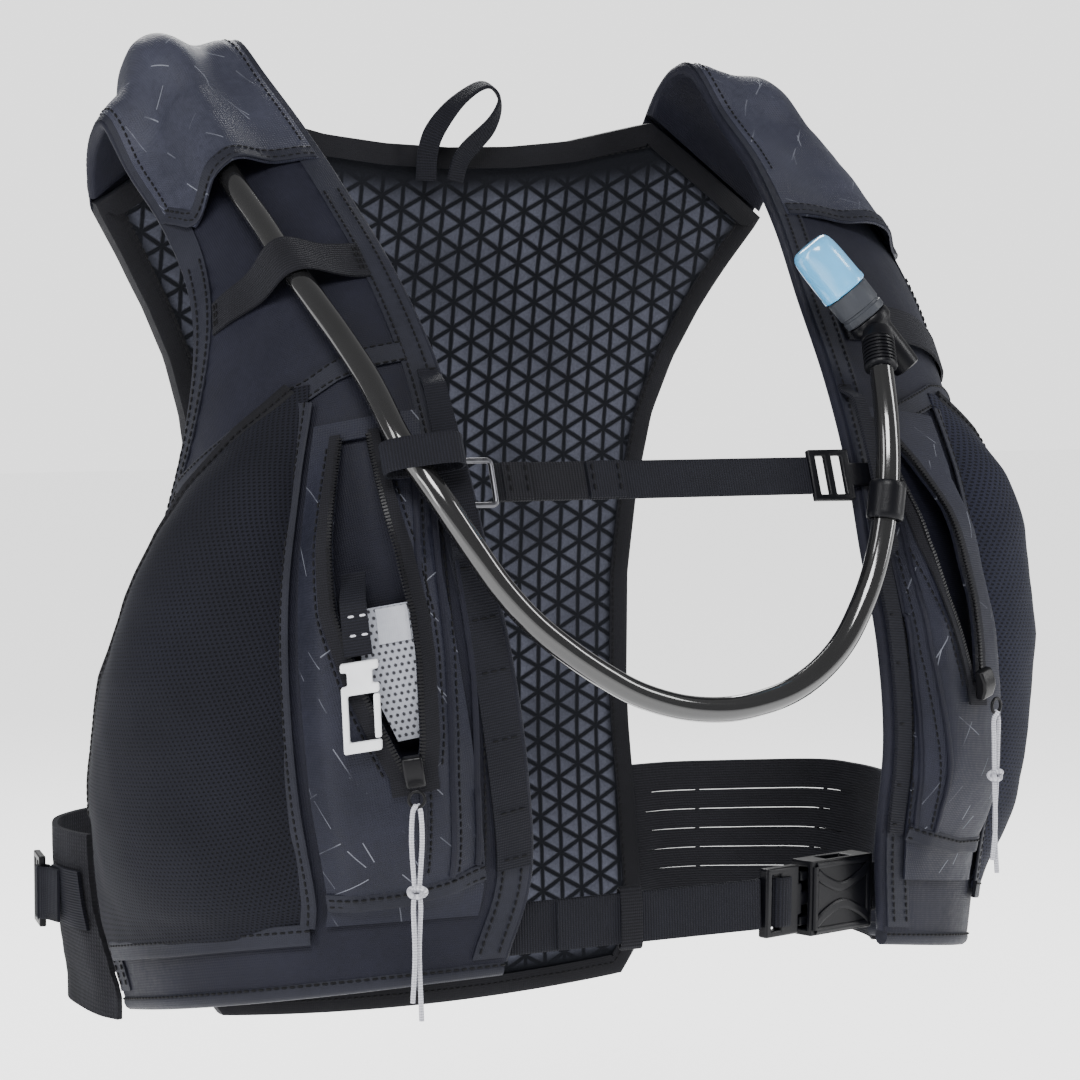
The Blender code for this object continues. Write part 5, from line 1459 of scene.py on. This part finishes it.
def chest_strap():
    right = PANEL["right"].at(LEG_T["right"], LEG_U, LEG_LIFT)
    left = PANEL["left"].at(LEG_T["left"], LEG_U, LEG_LIFT)
    along = (left - right).normalized()
    rail = Vector((0, 0, 0))
    for side in SIDES:
        above, below = (PANEL[side].at(LEG_T[side] + d, LEG_U) for d in (-RAIL_SPAN, RAIL_SPAN))
        rail += (below - above).normalized()
    down = flatten(rail, along)
    reach = (left - right).length
    body = "chest_strap"
    corners = [right + down * 8.5, right + down * 8.5 + along * 14.4, right - down * 8.5 + along * 14.4,
               right - down * 8.5]
    wire = []
    for k, corner in enumerate(corners):
        before, after = corners[k - 1], corners[(k + 1) % 4]
        a = corner + (before - corner).normalized() * 2.2
        b = corner + (after - corner).normalized() * 2.2
        wire += [a * (1 - f) ** 2 + corner * (2 * f * (1 - f)) + b * f ** 2 for f in steps(0, 1, 8)]
    sweep("strap_wire", wire, round_section(1.1, 14), "steel", body, ["chest_strap_hook"], closed=True)
    out = down.cross(along).normalized()
    strap("strap_elastic", right, along, down, 15.9, 52, STERNUM_WEB, 3.0, "elastic", body,
          ["chest_elastic"])
    strap("strap_elastic_fold", right, along, down, 17.5, 29, STERNUM_WEB - 0.6, 1.2, "elastic", body,
          lift=1.9)
    strap("strap_webbing", right, along, down, 52.4, reach - 28.6, STERNUM_WEB, WEB_THICK, "webbing", body,
          ["chest_webbing"])
    strap("strap_webbing_fold", right, along, down, 53, 68, STERNUM_WEB - 0.5, 1.3, "webbing", body,
          lift=1.5)
    runs = [[(right + along * x + down * y + out * lift, out) for y in steps(-5.8, 5.8, 8)]
            for lift, x in ((2.35, 55), (2.35, 66), (2.7, 20), (2.7, 27))]
    stitches("strap_stitches", runs, body)
    moulded("chest_ladder_lock", body, "moulded_black", 0.7, 4)


# ---------------------------------------------------------------- waist strap and buckle
def waist_strap():
    along = (WAIST_END - WAIST_START).normalized()
    down = flatten(Vector((0, 0, -1)), along)
    length = (WAIST_END - WAIST_START).length
    out = down.cross(along).normalized()
    strap("waist_band", WAIST_START, along, down, 0, length, WAIST_WEB, WEB_THICK, "webbing", "pack",
          ["waist_webbing"])
    strap("waist_end_fold", WAIST_START, along, down, 0.5, 22, WAIST_WEB - 0.6, 1.3, "webbing", "pack",
          lift=1.5)
    strap("waist_tail", WAIST_START, along, down, TAIL_AT, length - 1, WAIST_WEB - 0.6, 0.8, "webbing",
          "pack",
          lift=1.22)
    runs = [[(WAIST_START + along * x + down * y + out * 2.3, out) for y in steps(-8, 8, 10)]
            for x in (3, 19)]
    stitches("waist_stitches", runs, "pack")
    middle = WAIST_START + along * KEEPER_AT
    ring = round_loop(middle, down, out, 11.85, 2.3, 64)
    sweep("waist_slip_keeper", ring, band_section(9.0, 1.1), "elastic", "waist_keeper", ["waist_keeper"],
          [(down * (p - middle).dot(down) / 12 + out * (p - middle).dot(out) / 1.6).normalized()
           for p in ring],
          closed=True)
    axis = (BUCKLE_END - WAIST_END).normalized()
    down = (Vector((0, 0, -1)) + axis * axis.z).normalized()
    out = down.cross(axis).normalized()
    origin = WAIST_END + axis * 1.6
    moulded("buckle_male", "pack", "moulded_black", 0.9, 4)
    moulded("buckle_prong_upper", "prong_upper", "moulded_black", 0.5, 3)
    moulded("buckle_prong_lower", "prong_lower", "moulded_black", 0.5, 3)
    moulded("buckle_female", "buckle_socket", "moulded_black", 1.3, 4)
    wrap = ((-1.5, -0.9), (-0.4, -2.9), (2.8, -3.2), (5.2, -1.2), (6.4, 1.8), (8.6, 3.1), (11.4, 3.2),
            (13.4, 2.4))
    wrap = sample([origin + axis * x + out * y for x, y in wrap], 40)
    sweep("waist_buckle_wrap", wrap, band_section(WAIST_WEB - 0.4, 1.3), "webbing", "pack",
          outs=[down.cross(d).normalized() for d in tangents(wrap)])
    top = origin + out * 5.5

    def rib(name, spots, wide):
        points = sample([top + axis * x + down * y for x, y in spots], 24)
        sweep(name, points, band_section(wide, 1.9), "moulded_black", "buckle_socket", outs=[out] * 25)

    for k, y in enumerate((-1, 1)):
        rib(f"socket_arm_{k + 1}", ((25.5, 10.2 * y), (31, 6.6 * y), (41, 3.4 * y), (51, 6.6 * y),
                                    (57, 10.2 * y)), 4.2)
        rib(f"socket_edge_{k + 1}", ((25.5, 12.9 * y), (41, 12.9 * y), (57, 12.9 * y)), 2.6)
        end = 25.0 + 32.0 * k
        rib(f"socket_bar_{k + 1}", ((end, -12.6), (end, 0), (end, 12.6)), 3.2)
    strap("waist_stub_webbing", origin + axis * (60 + GAP), axis, down, 0, 12, WAIST_WEB, WEB_THICK,
          "webbing",
          "buckle_socket", ["waist_stub"])


# ---------------------------------------------------------------- side wings
SLIT_ROWS = 8


def side_wings():
    for side, look in (("right", "fuzz"), ("left", "elastic")):
        sign = PANEL[side].sign
        zs, slit = [], set()
        tall = (WING_Z[0] - WING_Z[1]) / SLIT_ROWS
        for row in range(SLIT_ROWS):
            top = WING_Z[0] - row * tall
            zs += [top, top - tall * 0.47, top - tall * 0.53]
            slit.add(row * 3 + 1)
        zs.append(WING_Z[1])
        columns = 96
        outer, inner = [], []
        for z in zs:
            path = sample(wing_path(side, z), columns)
            out = [d.cross(Vector((0, 0, 1))).normalized() * -sign for d in tangents(path)]
            swell = [0.5 * crease(p, 0.05, 1.0) for p in path]
            outer.append([p + n * (1.2 + w) for p, n, w in zip(path, out, swell)])
            inner.append([p - n * (1.2 - w) for p, n, w in zip(path, out, swell)])

        def keep(i, j):
            if side == "right" or i not in slit or i < 3 or i > 3 * SLIT_ROWS - 6:
                return True
            return j % 26 < 1 or j < 6 + 3 * (i // 3 % 2) or j > 64 - 4 * (i // 3 % 3)

        wing = skin(f"{side}_wing", outer, inner, look, "pack", [f"{side}_side_wing"], keep)
        outer, inner = [], []
        for z in steps(-335, -358, 12):
            path = sample(wing_path(side, z), 120)[88:115]
            out = [d.cross(Vector((0, 0, 1))).normalized() * -sign for d in tangents(path)]
            outer.append([p + n * (2.2 + WEB_THICK) for p, n in zip(path, out)])
            inner.append([p + n * 2.2 for p, n in zip(path, out)])
        skin(f"{side}_adjuster_webbing", outer, inner, "webbing", "pack", [f"{side}_side_webbing"])
        moulded(f"{side}_side_lock", f"{side}_side_lock", "moulded_black", 0.7, 4)
        path = sample(wing_path(side, -346.5), 60)
        back, fore = path[38], path[43]
        across = (fore - back).normalized()
        out = across.cross(Vector((0, 0, 1))).normalized() * -sign
        pivot = fore + out * 7.5
        ahead = (path[48] - path[47]).cross(Vector((0, 0, 1))).normalized() * -sign
        runs = {"arriving": ((path[48] + ahead * 5.2, path[45] + out * 6.6,
                              pivot + across * 1.0 + out * 1.5), "pack"),
                "loop": ((pivot - across * 0.6 + out * 1.6, pivot - across * 3.6 + out * 1.9,
                          pivot - across * 5.2, pivot - across * 3.4 - out * 2.4,
                          pivot - across * 1.6 - out * 2.9), f"{side}_side_lock"),
                "leaving": ((pivot - across * 0.4 - out * 3.3, path[43] + across * 1.6 + out * 3.8,
                             path[45] + out * 2.7), "pack")}
        for part, (spots, body) in runs.items():
            bend = sample(spots, 30)
            faces = [d.cross(Vector((0, 0, 1))).normalized() for d in tangents(bend)]
            sweep(f"{side}_lock_webbing_{part}", bend, band_section(21.5, 1.3), "webbing", body, outs=faces)


# ---------------------------------------------------------------- rear compartment
def shell_skin(name, columns, rows, low, high, look, nodes, keep=None):
    return skin(name, [[shell_at(s, v, high(s, v)) for s in columns] for v in rows],
                [[shell_at(s, v, low(s, v)) for s in columns] for v in rows], look, "pack", nodes, keep)


def rear_compartment():
    def wave(s, v):
        edge = ramp(1 - abs(s), 0.02, 0.2) * ramp(v, 0.1, 0.2) * ramp(1 - v, 0.02, 0.15)
        p = shell_at(s, v)
        return (crease(p, 0.02, 2.0) + crease(p, 0.06, 0.7)) * edge

    columns = sorted(set(steps(-1, 1, 70) + list(SHELL_S)))
    rows = sorted(set(steps(0, 1, 90) + list(SHELL_V)))
    top, low = rows.index(0.0575), rows.index(0.0725)
    first, last = columns.index(-0.74), columns.index(0.74)
    shell = shell_skin("rear_bag", columns, rows, lambda s, v: wave(s, v) - 1.0, wave, "ripstop",
                       ["rear_shell"],
                       keep=lambda i, j: not (top <= i < low and first <= j < last))
    tape_s = steps(-0.85, 0.85, 60)
    shell_skin("rear_zip_tapes", tape_s, spread_us(SHELL_V[2:6], (3, 3, 3)), lambda s, v: GAP + 0.3,
               lambda s, v: TAPE_TOP, "tape", ["rear_zip_tape"])
    rails = []
    for v, sign in ((REAR_ZIP_V - 0.0022, 1), (REAR_ZIP_V + 0.0022, -1)):
        rail = []
        for s in steps(-0.8, 0.8, 90):
            p = shell_at(s, v, TAPE_TOP + 0.3)
            across = (shell_at(s, v + 0.01) - shell_at(s, v)).normalized() * sign
            ahead = (shell_at(s + 0.01, v) - shell_at(s - 0.01, v)).normalized()
            out = ahead.cross(across).normalized()
            rail.append((p, across, out if out.y > 0 else -out))
        rails.append(rail)
    teeth("rear_zip_teeth", rails)

    def lift(s, v):
        return GAP + 2.0 + 12 * (1 - (abs(s) / 0.86) ** 4) * ramp(0.97 - v, 0.0, 0.55)

    mouth_v = SHELL_V[10]
    rows = steps(mouth_v, SHELL_V[-2], 60)
    columns = steps(-0.85, 0.85, 60)
    pocket = shell_skin("rear_stretch_pocket", columns, rows, lambda s, v: lift(s, v) - 0.9, lift,
                        "stretch_mesh",
                        ["rear_mesh_pocket"])
    mouth = [shell_at(s, mouth_v + 0.006, lift(s, mouth_v) + 0.2) for s in columns]
    outs = [(shell_at(s, 0.43, 9) - shell_at(s, 0.43, 0)).normalized() for s in columns]
    sweep("rear_mouth_hem", mouth, band_section(9.0, 1.8), "binding", "pack", outs=outs)

    def bow(v):
        return 1.3 + 4.2 * (1 - ((v - 0.24) / 0.05) ** 4)

    shell_skin("light_webbing", steps(-0.11, 0.11, 10), steps(0.19, 0.29, 24), lambda s, v: bow(v),
               lambda s, v: bow(v) + 1.4, "webbing", ["light_loop"])
    runs = [[(shell_at(s, v, 2.9), Vector((0, 1, 0))) for s in steps(-0.1, 0.1, 8)] for v in (0.195, 0.285)]
    for s in (-0.965, 0.965):
        runs.append([(shell_at(s, v, 0.2), Vector((0, 1, 0))) for v in steps(0.12, 0.95, 80)])
    stitches("rear_stitches", runs, "pack")


def drinking_parts():
    """The pieces inside keep their own shapes and take better materials."""
    for node, look in (("reservoir", "bladder"), ("reservoir_slide", "moulded_black"),
                       ("reservoir_port", "moulded_black")):
        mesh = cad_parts[node].data
        mesh.materials.clear()
        mesh.materials.append(LOOK[look])


camera()
studio()
hose_and_valve()
back_panel()
front_panels()
shoulder_joins()
seams()
shoulder_flaps()
front_pockets()
mesh_pockets()
sliders()
key_clip()
hose_keepers()
attachment_strips()
chest_strap()
waist_strap()
side_wings()
rear_compartment()
drinking_parts()
